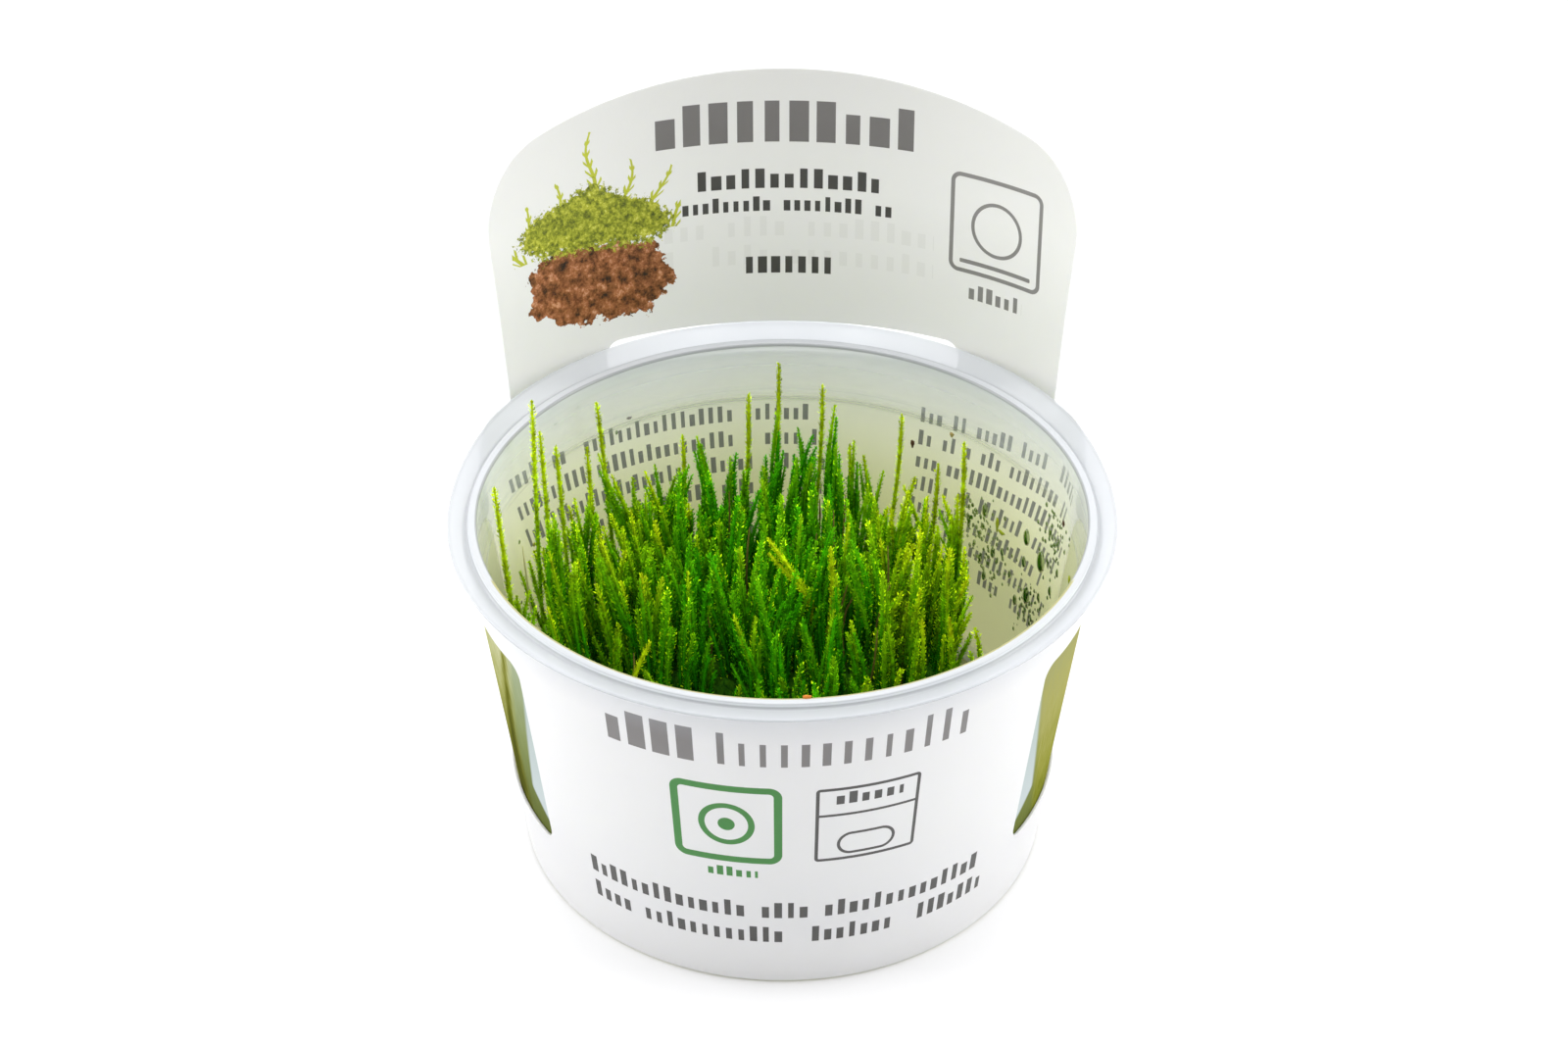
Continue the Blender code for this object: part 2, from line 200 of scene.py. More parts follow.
class Value:
    """A number or colour in a shader. Sums with values add the nodes that work them out, and a
    comparison gives 1 where it holds and 0 elsewhere."""

    def __init__(self, nodes, socket):
        self.nodes = nodes
        self.socket = socket

    def of(self, operation, other=0.0):
        """What a math node makes of this value, and of a second one if it takes two."""
        return self.nodes.math(operation, self, other)

    def __add__(self, other):
        return self.of("ADD", other)

    def __sub__(self, other):
        return self.of("SUBTRACT", other)

    def __rsub__(self, other):
        return self.nodes.math("SUBTRACT", other, self)

    def __mul__(self, other):
        return self.of("MULTIPLY", other)

    def __truediv__(self, other):
        return self.of("DIVIDE", other)

    def __lt__(self, other):
        return self.of("LESS_THAN", other)

    def __gt__(self, other):
        return self.of("GREATER_THAN", other)

    def __abs__(self):
        return self.of("ABSOLUTE")

    def clamped(self):
        """Kept from 0 to 1."""
        return self.nodes.math("ADD", self, 0.0, clamp=True)

    def rise(self, low, high):
        """A straight rise from 0 where the value is low to 1 where it is high."""
        return self.nodes.math("DIVIDE", self - low, high - low, clamp=True)

    def inside(self, low, high):
        return (self > low) * (self < high)


class Nodes:
    """Lays out the shader nodes of one tree."""

    def __init__(self, tree):
        self.tree = tree
        self.count = 0
        self.shader = tree.nodes.get("Principled BSDF")

    def add(self, kind, **settings):
        node = self.tree.nodes.new(kind)
        node.location = (self.count % 12 * 190.0, -(self.count // 12) * 220.0)
        self.count += 1
        for name, value in settings.items():
            setattr(node, name, value)
        return node

    def join(self, source, socket):
        """Links a value to the socket, or sets the socket to a number, a vector or a colour."""
        if isinstance(source, Value):
            self.tree.links.new(source.socket, socket)
        elif socket.type == "RGBA":
            socket.default_value = (*source[:3], 1.0)
        else:
            socket.default_value = source

    def give(self, node, **inputs):
        """Joins what is given to the node's inputs. A key is an input's name, _ for a space."""
        for key, source in inputs.items():
            self.join(source, node.inputs[key.replace("_", " ")])
        return node

    def output(self, node, name=0):
        """The value that leaves the node by the output of this name or number."""
        return Value(self, node.outputs[name])

    def math(self, operation, first, second=0.0, clamp=False):
        node = self.add("ShaderNodeMath", operation=operation, use_clamp=clamp)
        for source, socket in zip((first, second), node.inputs):
            self.join(source, socket)
        return self.output(node)

    def mix(self, share, first, second, blend="MIX"):
        node = self.add("ShaderNodeMix", data_type="RGBA", blend_type=blend)
        self.give(node, Factor=share, A=first, B=second)
        return self.output(node, "Result")

    def vector(self, x, y, z):
        return self.output(self.give(self.add("ShaderNodeCombineXYZ"), X=x, Y=y, Z=z))

    def parts(self, vector):
        """The vector's three numbers."""
        node = self.give(self.add("ShaderNodeSeparateXYZ"), Vector=vector)
        return [Value(self, socket) for socket in node.outputs]

    def dimmed(self, color, shade):
        return self.mix(1.0, color, self.vector(shade, shade, shade), "MULTIPLY")

    def value(self, name):
        return self.output(self.add("ShaderNodeAttribute", attribute_name=name), "Fac")

    def ramp(self, source, stops):
        node = self.give(self.add("ShaderNodeValToRGB"), Fac=source)
        elements = node.color_ramp.elements
        while len(elements) < len(stops):
            elements.new(0.5)
        for element, (place, color) in zip(elements, stops):
            element.position = place
            element.color = (*color, 1.0)
        return self.output(node, "Color")

    def noise(self, vector, scale, detail=2.0, roughness=0.5):
        node = self.add("ShaderNodeTexNoise")
        self.give(node, Vector=vector, Scale=scale, Detail=detail, Roughness=roughness)
        return self.output(node, "Fac")

    def chance(self, first, second, seed):
        """A random number from 0 to 1 for each pair of whole numbers."""
        node = self.add("ShaderNodeTexWhiteNoise", noise_dimensions="3D")
        self.give(node, Vector=self.vector(first, second, seed))
        return self.output(node, "Value")

    def object_place(self):
        return self.output(self.add("ShaderNodeTexCoord"), "Object")

    def bump(self, height, distance, strength):
        node = self.add("ShaderNodeBump")
        self.give(node, Height=height, Distance=distance, Strength=strength)
        return self.output(node, "Normal")

    def group(self, build, output, along, up, **inputs):
        """Adds the group that build makes, at work on (along, up), and gives one of its outputs."""
        tree = bpy.data.node_groups.get(build.__name__) or build()
        node = self.add("ShaderNodeGroup", node_tree=tree)
        return self.output(self.give(node, Along=along, Up=up, **inputs), output)


def new_material(name, kind=Nodes, **inputs):
    """A material and its nodes, with what is given joined to its Principled shader's inputs."""
    look = bpy.data.materials.new(name)
    look.use_nodes = True
    nodes = kind(look.node_tree)
    nodes.give(nodes.shader, **inputs)
    return look, nodes


def new_group(name, **inputs):
    """A shader node group: its nodes, and the values of its inputs, which start as given here."""
    tree = bpy.data.node_groups.new(name, "ShaderNodeTree")
    for key, start in inputs.items():
        socket = tree.interface.new_socket(
            key.replace("_", " "), in_out="INPUT", socket_type="NodeSocketFloat")
        socket.default_value = start
    nodes = Nodes(tree)
    source = nodes.add("NodeGroupInput")
    return nodes, [Value(nodes, source.outputs[number]) for number in range(len(inputs))]


def finish_group(nodes, **outputs):
    for label in outputs:
        nodes.tree.interface.new_socket(label, in_out="OUTPUT", socket_type="NodeSocketFloat")
    nodes.give(nodes.add("NodeGroupOutput"), **outputs)
    return nodes.tree


def word_rows():
    """Rows of plain blocks that stand for words. A row is (Top - Up) / Pitch. Each cell along it
    has a block on the row's base line, random cells are left empty and random blocks are taller.
    A block's width is the Fill, or down to two thirds of it."""
    n, values = new_group(
        "word_rows", Along=0.0, Up=0.0, Left=0.0, Right=10.0, Top=0.0, Rows=1.0, Pitch=12.0,
        Height=2.5, Cell=1.5, Fill=0.6, Gaps=0.0, Ragged=0.0, Tall=0.3, Seed=0.0)
    along, up, left, right, top, rows, pitch, height, size, fill, gaps, ragged, tall, seed = values
    down = (top - up) / pitch
    row = down.of("FLOOR")
    cells = (along - left) / size
    cell = cells.of("FLOOR")
    filled = n.chance(cell, row, seed) > gaps
    lowered = n.chance(cell, row, seed + 3.0) > tall
    half = fill * (n.chance(cell, row, seed + 5.0) * 0.17 + 0.33)
    block = (abs(cells - cell - 0.5) < half) * filled
    level = (down - row) * pitch / height
    ended = along.inside(left, right - ragged * n.chance(row, 7.0, seed))
    mask = block * level.inside(lowered * 0.28, 1.0) * ended
    return finish_group(n, Mask=mask * row.inside(-0.5, rows - 0.5))


def round_box():
    """A box with round corners: its distance is the length of the part of (|x|, |y|) past the
    inner box, less the corner's radius. Fill is the inside, Line a band just within the edge."""
    n, values = new_group(
        "round_box", Along=0.0, Up=0.0, Middle_Along=0.0, Middle_Up=0.0, Half_Width=5.0,
        Half_Height=5.0, Corner=1.0, Line=0.5)
    along, up, middle_along, middle_up, half_width, half_height, corner, line = values
    x = abs(along - middle_along) - (half_width - corner)
    y = abs(up - middle_up) - (half_height - corner)
    x_out = x.of("MAXIMUM")
    y_out = y.of("MAXIMUM")
    outside = (x_out * x_out + y_out * y_out).of("SQRT")
    distance = outside + x.of("MAXIMUM", y).of("MINIMUM") - corner
    return finish_group(n, Fill=distance < 0.0, Line=distance.inside(line * -1.0, 0.0),
                        Distance=distance)


# Settings

def number_setting(name, description, default, high, low=0.0, **more):
    return bpy.props.FloatProperty(
        name=name, description=description, default=default, min=low, max=high, **more)


def length_setting(name, description, default, low, high):
    return number_setting(name, description, default, high, low, subtype="DISTANCE",
                          unit="LENGTH", precision=5)


def share_setting(name, description, default):
    return number_setting(name, description, default, 1.0, subtype="FACTOR")


def count_setting(name, description, default, low, high):
    return bpy.props.IntProperty(
        name=name, description=description, default=default, min=low, max=high)


def color_setting(name, description, default):
    return bpy.props.FloatVectorProperty(
        name=name, description=description, default=default, min=0.0, max=1.0, size=3,
        subtype="COLOR")


class CupSettings(bpy.types.PropertyGroup):
    plastic: color_setting("Plastic", "Colour of the clear plastic", (0.75, 0.775, 0.81))
    haze: share_setting("Haze", "How much the wall hides what is behind it", 0.07)
    glance: share_setting("Glance", "How much a glancing view adds to the haze", 0.05)
    film: share_setting("Film", "How much the olive film in the windows hides", 0.94)
    # Painted glow: the film's emission stands for light from outside coming through it.
    glow: number_setting("Glow", "Light that comes through the film", 0.28, 2.0)
    steps: count_setting("Steps", "Points round the cup", 256, 32, 512)
    drops: count_setting("Drops", "Small condensation drops on the right wall", 330, 0, 2000)


class SleeveSettings(bpy.types.PropertyGroup):
    sheet: color_setting("Sheet", "Colour of the bare sheet", (0.80, 0.80, 0.80))
    outer: color_setting("Outer side", "Colour of the sheet's outer side", (0.735, 0.735, 0.75))
    # The inner side's olive is partly the damp and partly painted green light thrown back by the
    # moss.
    inner: color_setting("Damp inner side", "Colour of the inner side low down", (0.60, 0.60, 0.36))
    ink: color_setting("Dark ink", "Colour of the small print", (0.075, 0.072, 0.070))
    heading: color_setting("Heading ink", "Colour of the large print", (0.21, 0.20, 0.20))
    green: color_setting("Green ink", "Colour of the round mark's square", (0.045, 0.23, 0.04))
    thickness: length_setting("Thickness", "Thickness of the sheet", 0.4 * MM, 0.1 * MM, 2 * MM)
    translucency: share_setting("Translucency", "Share of the light that the sheet passes", 0.8)


class MossSettings(bpy.types.PropertyGroup):
    deep: color_setting("Deep leaves", "Colour low in the stand", (0.010, 0.275, 0.001))
    leaf: color_setting("Leaves", "Colour of grown leaves", (0.056, 0.450, 0.002))
    tip: color_setting("Young leaves", "Colour of the growing tips", (0.560, 0.720, 0.006))
    stem: color_setting("Stems", "Colour of old bare stems", (0.26, 0.20, 0.05))
    dry: color_setting("Dry stems", "Colour of dry pale stems", (0.85, 0.80, 0.42))
    leaf_length: length_setting("Leaf length", "Length of a leaf", 0.60 * MM, 0.3 * MM, 3 * MM)
    leaf_width: length_setting("Leaf width", "Width of a leaf", 0.36 * MM, 0.1 * MM, 2 * MM)
    leaves: count_setting("Leaves", "Leaves on each shoot of the stand", 190, 10, 3000)
    stems: count_setting("Bare stems", "Old bare stems among the shoots", 36, 0, 500)
    bundle: count_setting("Bundle", "Shoots in each bundle of the stand", 6, 1, 30)
    seed: count_setting("Seed", "Chooses another scatter", 5, 0, 9999)


class StageSettings(bpy.types.PropertyGroup):
    floor: color_setting("Floor", "Colour of the floor", (0.93, 0.93, 0.93))
    key: number_setting("Side lights", "Power of each side light", 2.0, 100.0, unit="POWER")
    top: number_setting("Top light", "Power of the light above", 2.2, 100.0, unit="POWER")
    sky: number_setting("Surroundings", "Brightness of the white surroundings", 0.75, 10.0)
    behind: number_setting("More behind", "How much brighter the surroundings are behind the cup, "
                           "and how much darker in front", 0.25, 5.0)
    lens: number_setting("Lens", "Focal length in millimetres", 58.5, 300.0, 10.0)
    pitch: number_setting("Pitch", "How far the camera looks down", math.radians(35.52),
                          math.pi / 2, subtype="ANGLE", unit="ROTATION")


# Cup

# Radii and heights in millimetres, and degrees round from the front. A wall's foot is its radius
# at height 0.
INNER_WALL_FOOT = 40.3
OUTER_WALL_FOOT = 40.99
FLANGE_ROOT = 46.5
FLANGE_EDGE = 50.2
FLANGE_RISE = 2.4
FLANGE_UNDER = 55.0
LIP_UPPER = 58.0
WINDOW_TURN = (50.0, 104.0)
CUP_PROFILE = [
    (0.0, 1.0), (38.2, 1.0), (39.2, 1.2), (40.1, 1.9), (40.55, 3.0), (40.75, 4.0),
    (45.30, 44.4), (45.50, 46.2), (45.45, 47.2), (45.25, 48.0), (44.80, 48.75), (44.65, 49.3),
    (44.72, 49.9), (45.68, 57.6), (45.74, 58.15), (45.92, 58.45), (46.35, 58.5), (46.95, 58.38),
    (47.12, 58.1), (47.22, 57.7), (47.45, 57.5), (47.8, 57.6), (49.6, 58.08), (50.05, 58.12),
    (50.2, 57.9),
    (50.1, 57.65), (49.8, 57.5), (47.2, 56.85), (46.6, 56.65), (46.42, 56.2), (45.5, 49.6),
    (45.42, 49.1), (45.6, 48.5), (45.95, 47.8), (46.15, 47.0), (46.2, 46.2), (41.4, 3.6),
    (41.1, 2.0), (40.5, 0.9), (39.6, 0.2), (38.6, 0.0), (0.0, 0.0),
]


def rounded(points, passes):
    """Corner cutting: each pass puts two points on every stretch, a quarter in from its ends, and
    keeps the first and last points."""
    points = np.asarray(points, float)
    for _ in range(passes):
        near = points[:-1] * 0.75 + points[1:] * 0.25
        far = points[:-1] * 0.25 + points[1:] * 0.75
        middle = np.stack([near, far], axis=1).reshape(-1, points.shape[1])
        points = np.concatenate([points[:1], middle[1:-1], points[-1:]])
    return points


def flange_lift(x, y):
    """Millimetres that the flange is bent up behind: a smooth rise from 85 to 125 degrees round
    from the front, times the share of the way out from its root to its edge."""
    behind = np.degrees(np.arctan2(np.abs(x), -y))
    share = np.clip((np.hypot(x, y) - FLANGE_ROOT) / (FLANGE_EDGE - FLANGE_ROOT), 0.0, 1.0)
    return FLANGE_RISE * rise(behind, 85.0, 125.0) * share


def inner_wall(height):
    """Radius in millimetres of the cup's inner wall at this height."""
    return INNER_WALL_FOOT + TAPER * height


def plastic_material(settings):
    """Clear moulded plastic: its alpha is the stored haze, more at a glancing angle, with fine
    flow lines in the roughness and a slight waviness in the surface. The stored shade is painted
    light and shade in the colour: it darkens the grooves, the edges, and the flange in front and at
    the sides, and lightens the flange behind and the rest of the cup. The stored moss value marks
    the brim where the green of the moss seen in the lip is painted in."""
    look, n = new_material("clear_plastic", IOR=1.49)
    haze = n.value("haze")
    color = n.dimmed(settings.plastic, n.value("shade"))
    color = n.mix(n.value("moss") * 0.75, color, (0.42, 0.38, 0.05))
    facing = n.output(n.give(n.add("ShaderNodeLayerWeight"), Blend=0.35), "Facing")
    veil = (1.0 - haze) * facing.of("POWER", 3.0) * settings.glance
    place = n.object_place()
    n.give(n.shader, Base_Color=color, Alpha=(haze + veil).clamped(),
           Roughness=n.noise(place, 160.0, 3.0) * 0.22 + 0.05,
           Normal=n.bump(n.noise(place, 90.0, 1.0), 0.0004, 0.25))
    return look


class JAVAMOSS_OT_cup(bpy.types.Operator):
    """Turns the clear cup with its stacking ring, lip and flange"""
    bl_idname = "java_moss.cup"
    bl_label = "Cup"

    def execute(self, context):
        settings = context.scene.java_moss_cup
        mesh = turned_mesh("culture_cup", rounded(CUP_PROFILE, 2), settings.steps, flange_lift)
        x, y, height = (points_of(mesh) / MM).T
        reach = np.hypot(x, y)
        turn = np.degrees(np.arctan2(np.abs(x), -y))
        haze = np.interp(height, [0.0, 2.0, 8.0, 44.0, 47.6, 48.2, 48.8, 49.3, 49.8, 50.4, 56.0,
                                  57.6, 58.3],
                         [0.35, 0.30, 1.0, 1.0, 1.5, 5.5, 1.6, 1.6, 4.5, 2.4, 4.5, 9.0, 13.0])
        haze[height >= 8.0] *= settings.haze
        first, last = WINDOW_TURN
        window = (turn > first) & (turn < last) & (height > 11.0) & (height < 46.5)
        haze[window] *= 0.25
        upper = height > FLANGE_UNDER
        flange = (reach > 47.3) & upper
        haze[flange] = 0.66

        # Painted light and shade, kept as the shade that multiplies the plastic's colour: the flange
        # is darker in front and at the sides and lighter behind, the rest of the cup is lighter, and
        # the flange's outer bead, the crest, the groove and the lip's inner edge at the sides and
        # back are darker.
        rear = rise(turn, 125.0, 165.0)
        aside = rise(turn, 30.0, 55.0) * (1.0 - rear)
        front = 1.0 - rise(turn, 25.0, 45.0)
        shade = np.where(flange, 0.95 - 0.11 * front - 0.06 * aside + 0.24 * rear, 1.14)
        bead = flange & (reach > 49.7)
        shade[bead] -= 0.07 * aside[bead]
        crest = (height > 58.2) & (reach > 45.8) & (reach < 47.15)
        shade[crest] = 0.84
        groove = upper & (np.abs(reach - 47.38) < 0.22)
        shade[groove] = 0.68
        brim = (height > LIP_UPPER) & (reach < 46.02)
        beside = turn > 66.0
        shade[brim & beside] = 0.55
        # Painted in: the olive-yellow green of the moss seen in the lip's inner edge in front.
        lit = (height > LIP_UPPER) & (reach < 46.22) & ~beside
        haze[brim | groove | lit] = 0.9
        put_values(mesh, "haze", np.clip(haze, 0.0, 1.0))
        put_values(mesh, "shade", shade)
        put_values(mesh, "moss", lit)
        add_piece(mesh, plastic_material(settings), ["cup"], 50.0)
        return {"FINISHED"}


# Film in the windows

# Millimetres up the wall, and how far the film's two faces lie outside it.
FILM_UP = (8.0, 50.0)
FILM_OUT = (0.17, 0.10)


def film_material(settings):
    """Damp olive film in upright streaks: dark and green low down, pale above, with a pale bluish
    band in front that is widest near the bottom, a painted highlight in the edge of the clear wall.
    Behind, where it is seen from inside the cup, it is khaki and has a painted glow that stands for
    light from outside coming through."""
    look, n = new_material(
        "window_film", Roughness=0.5, Specular_IOR_Level=0.0, Emission_Strength=1.0)
    x, y, z = n.parts(n.object_place())
    along = n.math("ARCTAN2", abs(x), y * -1.0) * NOMINAL
    up = z / MM
    away = n.group(round_box, "Distance", along, up, Middle_Along=64.5, Middle_Up=29.5,
                   Half_Width=21.5, Half_Height=21.0, Corner=4.0)
    streaks = n.noise(n.vector(along * 0.50, up * 0.05, x.of("SIGN")), 5.0, 4.0)
    level = (up - 12.0) / 38.0
    edge = along - 44.8
    shade = level + (streaks - 0.5) * 0.9
    streak = up * -0.27 + 19.2
    dark = (1.0 - abs(edge - streak) / (up * -0.055 + 4.2)).clamped()
    left = n.ramp(shade - dark * 0.50, [
        (0.0, (0.075, 0.080, 0.012)), (0.35, (0.17, 0.175, 0.028)),
        (0.65, (0.33, 0.34, 0.11)), (1.0, (0.50, 0.51, 0.30))])
    right = n.ramp(shade, [(0.0, (0.15, 0.17, 0.014)), (0.25, (0.26, 0.265, 0.045)),
                           (0.65, (0.36, 0.35, 0.115)), (1.0, (0.33, 0.33, 0.14))])
    on_right = x > 0.0
    color = n.mix(on_right, left, right)
    green = n.ramp(level, [(0.0, (0.115, 0.14, 0.035)), (0.5, (0.21, 0.26, 0.11)),
                           (1.0, (0.31, 0.38, 0.26))])
    ahead = (on_right * -4.5 + streak - edge).of("MINIMUM", 11.5 - edge)
    color = n.mix(ahead.rise(1.0, 3.5) * 0.8, color, green)
    # A painted highlight: a pale bluish band in the clear wall's edge in front, widest near the
    # bottom.
    width = (48.0 - up) * 0.21 + 0.6
    within = ((width - edge) * 1.3).clamped()
    closed = (up - (edge * 0.95 + 15.2)).clamped()
    band = n.ramp(level, [(0.0, (0.56, 0.62, 0.64)), (1.0, (0.40, 0.47, 0.44))])
    color = n.mix(within * closed, color, band)
    khaki = n.ramp(level, [(0.0, (0.40, 0.40, 0.13)), (1.0, (0.60, 0.61, 0.40))])
    behind = along.rise(69.0, 82.0)
    color = n.mix(behind, color, khaki)
    # Painted glow: the khaki film behind emits its own colour, for light from outside coming through.
    n.give(n.shader, Base_Color=color, Emission_Color=n.mix(behind * settings.glow, BLACK, color),
           Alpha=(away * -1.0).clamped() * settings.film)
    return look


class JAVAMOSS_OT_film(bpy.types.Operator):
    """Lays the film: a thin closed patch in each of the two windows, on the outside of the wall,
    where the clear plastic's refraction makes the damp inside show"""
    bl_idname = "java_moss.film"
    bl_label = "Window film"

    def execute(self, context):
        settings = context.scene.java_moss_cup
        rows, columns = 40, 60
        count = rows * columns
        height = np.linspace(*FILM_UP, rows)[:, None]
        turn = np.radians(np.linspace(*WINDOW_TURN, columns))
        sheets = [round_place(OUTER_WALL_FOOT + TAPER * height + out, hand * turn, height)
                  for hand in (-1.0, 1.0) for out in FILM_OUT]
        skin = grid_faces(rows, columns)
        index = np.arange(count).reshape(rows, columns)
        loop = np.concatenate([index[0, :-1], index[:-1, -1], index[-1, :0:-1], index[:0:-1, 0]])
        turned = np.roll(loop, -1)
        rim = np.stack([turned, loop, loop + count, turned + count], axis=-1)
        patch = np.concatenate([skin, skin[:, ::-1] + count, rim])
        points = np.stack(sheets).reshape(-1, 3) * MM
        mesh = new_mesh("window_film", points, np.concatenate([patch, patch + 2 * count]))
        weld(mesh, 1e-7)
        add_piece(mesh, film_material(settings))
        return {"FINISHED"}


# Sleeve

# Millimetres on the flat blank, and the windows' degrees from the middle of the back. The two feet
# are the radius of the rolled sleeve and the header's distance from the middle, at height 0.
SLEEVE_FOOT = 41.3
PLATE_UP = (-2.0, 107.0)
SLEEVE_BOTTOM = 0.3
SLEEVE_TOP = 56.5
WINDOW_UP = (13.8, 49.3)
WINDOW_FROM_BACK = (80.0, 126.5)
SLOT_HALF = 29.9
SLOT_UP = (55.4, 61.0)
CUT_CORNER = 2.5
HEADER_HALF = 51.0
HEADER_CORNER = 13.5
HEADER_ARCH = 165.0
HEADER_TOP = 104.2
HEADER_BEND = 61.5
HEADER_FOOT = 42.05


def arc(center_x, center_y, radius, start, end, count):
    """Points round a corner, from one angle in degrees to another."""
    angles = np.radians(np.linspace(start, end, count))
    return list(zip(center_x + radius * np.cos(angles), center_y + radius * np.sin(angles)))


def round_outline(left, bottom, right, top, corner):
    outline = []
    for x, y, start in ((right - corner, bottom + corner, -90), (right - corner, top - corner, 0),
                        (left + corner, top - corner, 90), (left + corner, bottom + corner, 180)):
        outline += arc(x, y, corner, start, start + 90, 10)
    return outline


def mirrored(outline):
    return [(-x, y) for x, y in reversed(outline)]


def header_outline():
    """The header's edge in millimetres: leaning sides, round shoulders and one shallow arch."""
    inner = HEADER_HALF - HEADER_CORNER
    reach = HEADER_ARCH - HEADER_CORNER
    low = HEADER_TOP - HEADER_ARCH
    sweep = math.degrees(math.asin(inner / reach))
    corner_y = low + reach * math.cos(math.radians(sweep))
    right = [(48.3, SLEEVE_TOP), (49.6, 72.0)]
    right += arc(inner, corner_y, HEADER_CORNER, 0, 90 - sweep, 20)
    over = arc(0.0, low, HEADER_ARCH, 90 - sweep, 90 + sweep, 40)[1:-1]
    return right + over + mirrored(right)


def rolled(along, height, out):
    """Carries the flat blank, in millimetres, to its rolled place. Its cone has the radius
    foot + taper height + out, and the back opens smoothly into the header's flatter curve."""
    turn = along / NOMINAL
    cone = SLEEVE_FOOT + TAPER * height + out
    bend = along / HEADER_BEND
    flat_x = (HEADER_BEND + out) * np.sin(bend)
    flat_y = HEADER_FOOT + TAPER * height - HEADER_BEND + (HEADER_BEND + out) * np.cos(bend)
    share = rise(height, 24.0, 57.0) * (1.0 - rise(np.abs(along), 50.0, 66.0))
    x = cone * np.sin(turn)
    y = cone * np.cos(turn)
    return x + (flat_x - x) * share, y + (flat_y - y) * share


def die_curve(outlines):
    """A flat curve that fills the first outline and leaves the others open."""
    curve = bpy.data.curves.new("die", "CURVE")
    curve.dimensions = "2D"
    curve.fill_mode = "BOTH"
    curve.extrude = 2.0
    for outline in outlines:
        spline = curve.splines.new("POLY")
        spline.points.add(len(outline) - 1)
        flat = np.zeros((len(outline), 4), np.float32)
        flat[:, :2] = outline
        flat[:, 3] = 1.0
        spline.points.foreach_set("co", flat.ravel())
        spline.use_cyclic_u = True
    return new_object("die_curve", curve)


def evaluated_mesh(thing):
    graph = bpy.context.evaluated_depsgraph_get()
    return bpy.data.meshes.new_from_object(thing.evaluated_get(graph))


def cut_plate(thickness):
    """The flat blank: a plate cut with a die that has two windows and a slot. Millimetres."""
    columns = np.linspace(-HALF_ROLL, HALF_ROLL, 193)
    rows = np.linspace(*PLATE_UP, 56)
    across, up = np.meshgrid(columns, rows)
    points = np.stack([across, up, np.zeros_like(up)], axis=-1).reshape(-1, 3)
    plate = new_object("plate", new_mesh("plate", points, grid_faces(len(rows), len(columns))))
    thicken = plate.modifiers.new("Sheet", "SOLIDIFY")
    thicken.thickness = thickness
    thicken.offset = 1.0

    rear, front = (math.radians(degrees) * NOMINAL for degrees in WINDOW_FROM_BACK)
    window = round_outline(rear, WINDOW_UP[0], front, WINDOW_UP[1], CUT_CORNER)
    slot = round_outline(-SLOT_HALF, SLOT_UP[0], SLOT_HALF, SLOT_UP[1], CUT_CORNER)
    end = HALF_ROLL + 2
    edge = [(-end, SLEEVE_BOTTOM), (end, SLEEVE_BOTTOM), (end, SLEEVE_TOP)]
    edge += header_outline() + [(-end, SLEEVE_TOP)]
    curve = die_curve([edge, window, mirrored(window), slot])
    die_mesh = evaluated_mesh(curve)
    weld(die_mesh, 1e-3)
    die = new_object("die", die_mesh)
    cut = plate.modifiers.new("Die", "BOOLEAN")
    cut.operation = "INTERSECT"
    cut.object = die
    mesh = evaluated_mesh(plate)
    mesh.name = "printed_sleeve"
    for spare in (plate, die, curve):
        bpy.data.objects.remove(spare, do_unlink=True)
    return mesh


class Sheet(Nodes):
    """Nodes for one side of the sheet. The map gives the place on the flat blank in tenths of a
    metre: along is 0 at the middle of the back, and turned is 0 at the middle of the front."""

    def __init__(self, tree):
        super().__init__(tree)
        x, y, _ = self.parts(self.output(self.add("ShaderNodeUVMap", uv_map="Blank")))
        self.along = x * 100.0
        self.up = y * 100.0
        self.turned = self.along.of("SIGN") * HALF_ROLL - self.along
        self.place = self.object_place()

    def rows(self, x, top, left, right, **more):
        return self.group(word_rows, "Mask", x, self.up, Top=top, Left=left, Right=right, **more)

    def boxed(self, output, x, middle, middle_up, half, half_up, up=None, **more):
        return self.group(round_box, output, x, up or self.up, Middle_Along=middle,
                          Middle_Up=middle_up, Half_Width=half, Half_Height=half_up, **more)

    def back_title(self):
        """The two large rows on the header's back, which show faintly through its front."""
        return self.rows(self.along, 79.5, -20.0, 25.0, Rows=2.0, Pitch=4.9, Height=3.4, Cell=2.6,
                         Gaps=0.14, Seed=43.0)


def either(*masks):
    """1 where any of the masks is 1."""
    total = masks[0]
    for mask in masks[1:]:
        total = total.of("MAXIMUM", mask)
    return total


def sheet_look(name, settings):
    """Satin translucent sheet: its material and nodes."""
    look, sheet = new_material(
        name, Sheet, IOR=1.45, Subsurface_Weight=settings.translucency, Subsurface_Scale=0.0008,
        Subsurface_Radius=(1.0, 1.0, 0.9))
    grain = sheet.noise(sheet.place, 2600.0, 3.0, 0.6)
    sheet.give(sheet.shader, Roughness=grain * 0.16 + 0.34,
               Normal=sheet.bump(grain, 0.00003, 0.35))
    return look, sheet


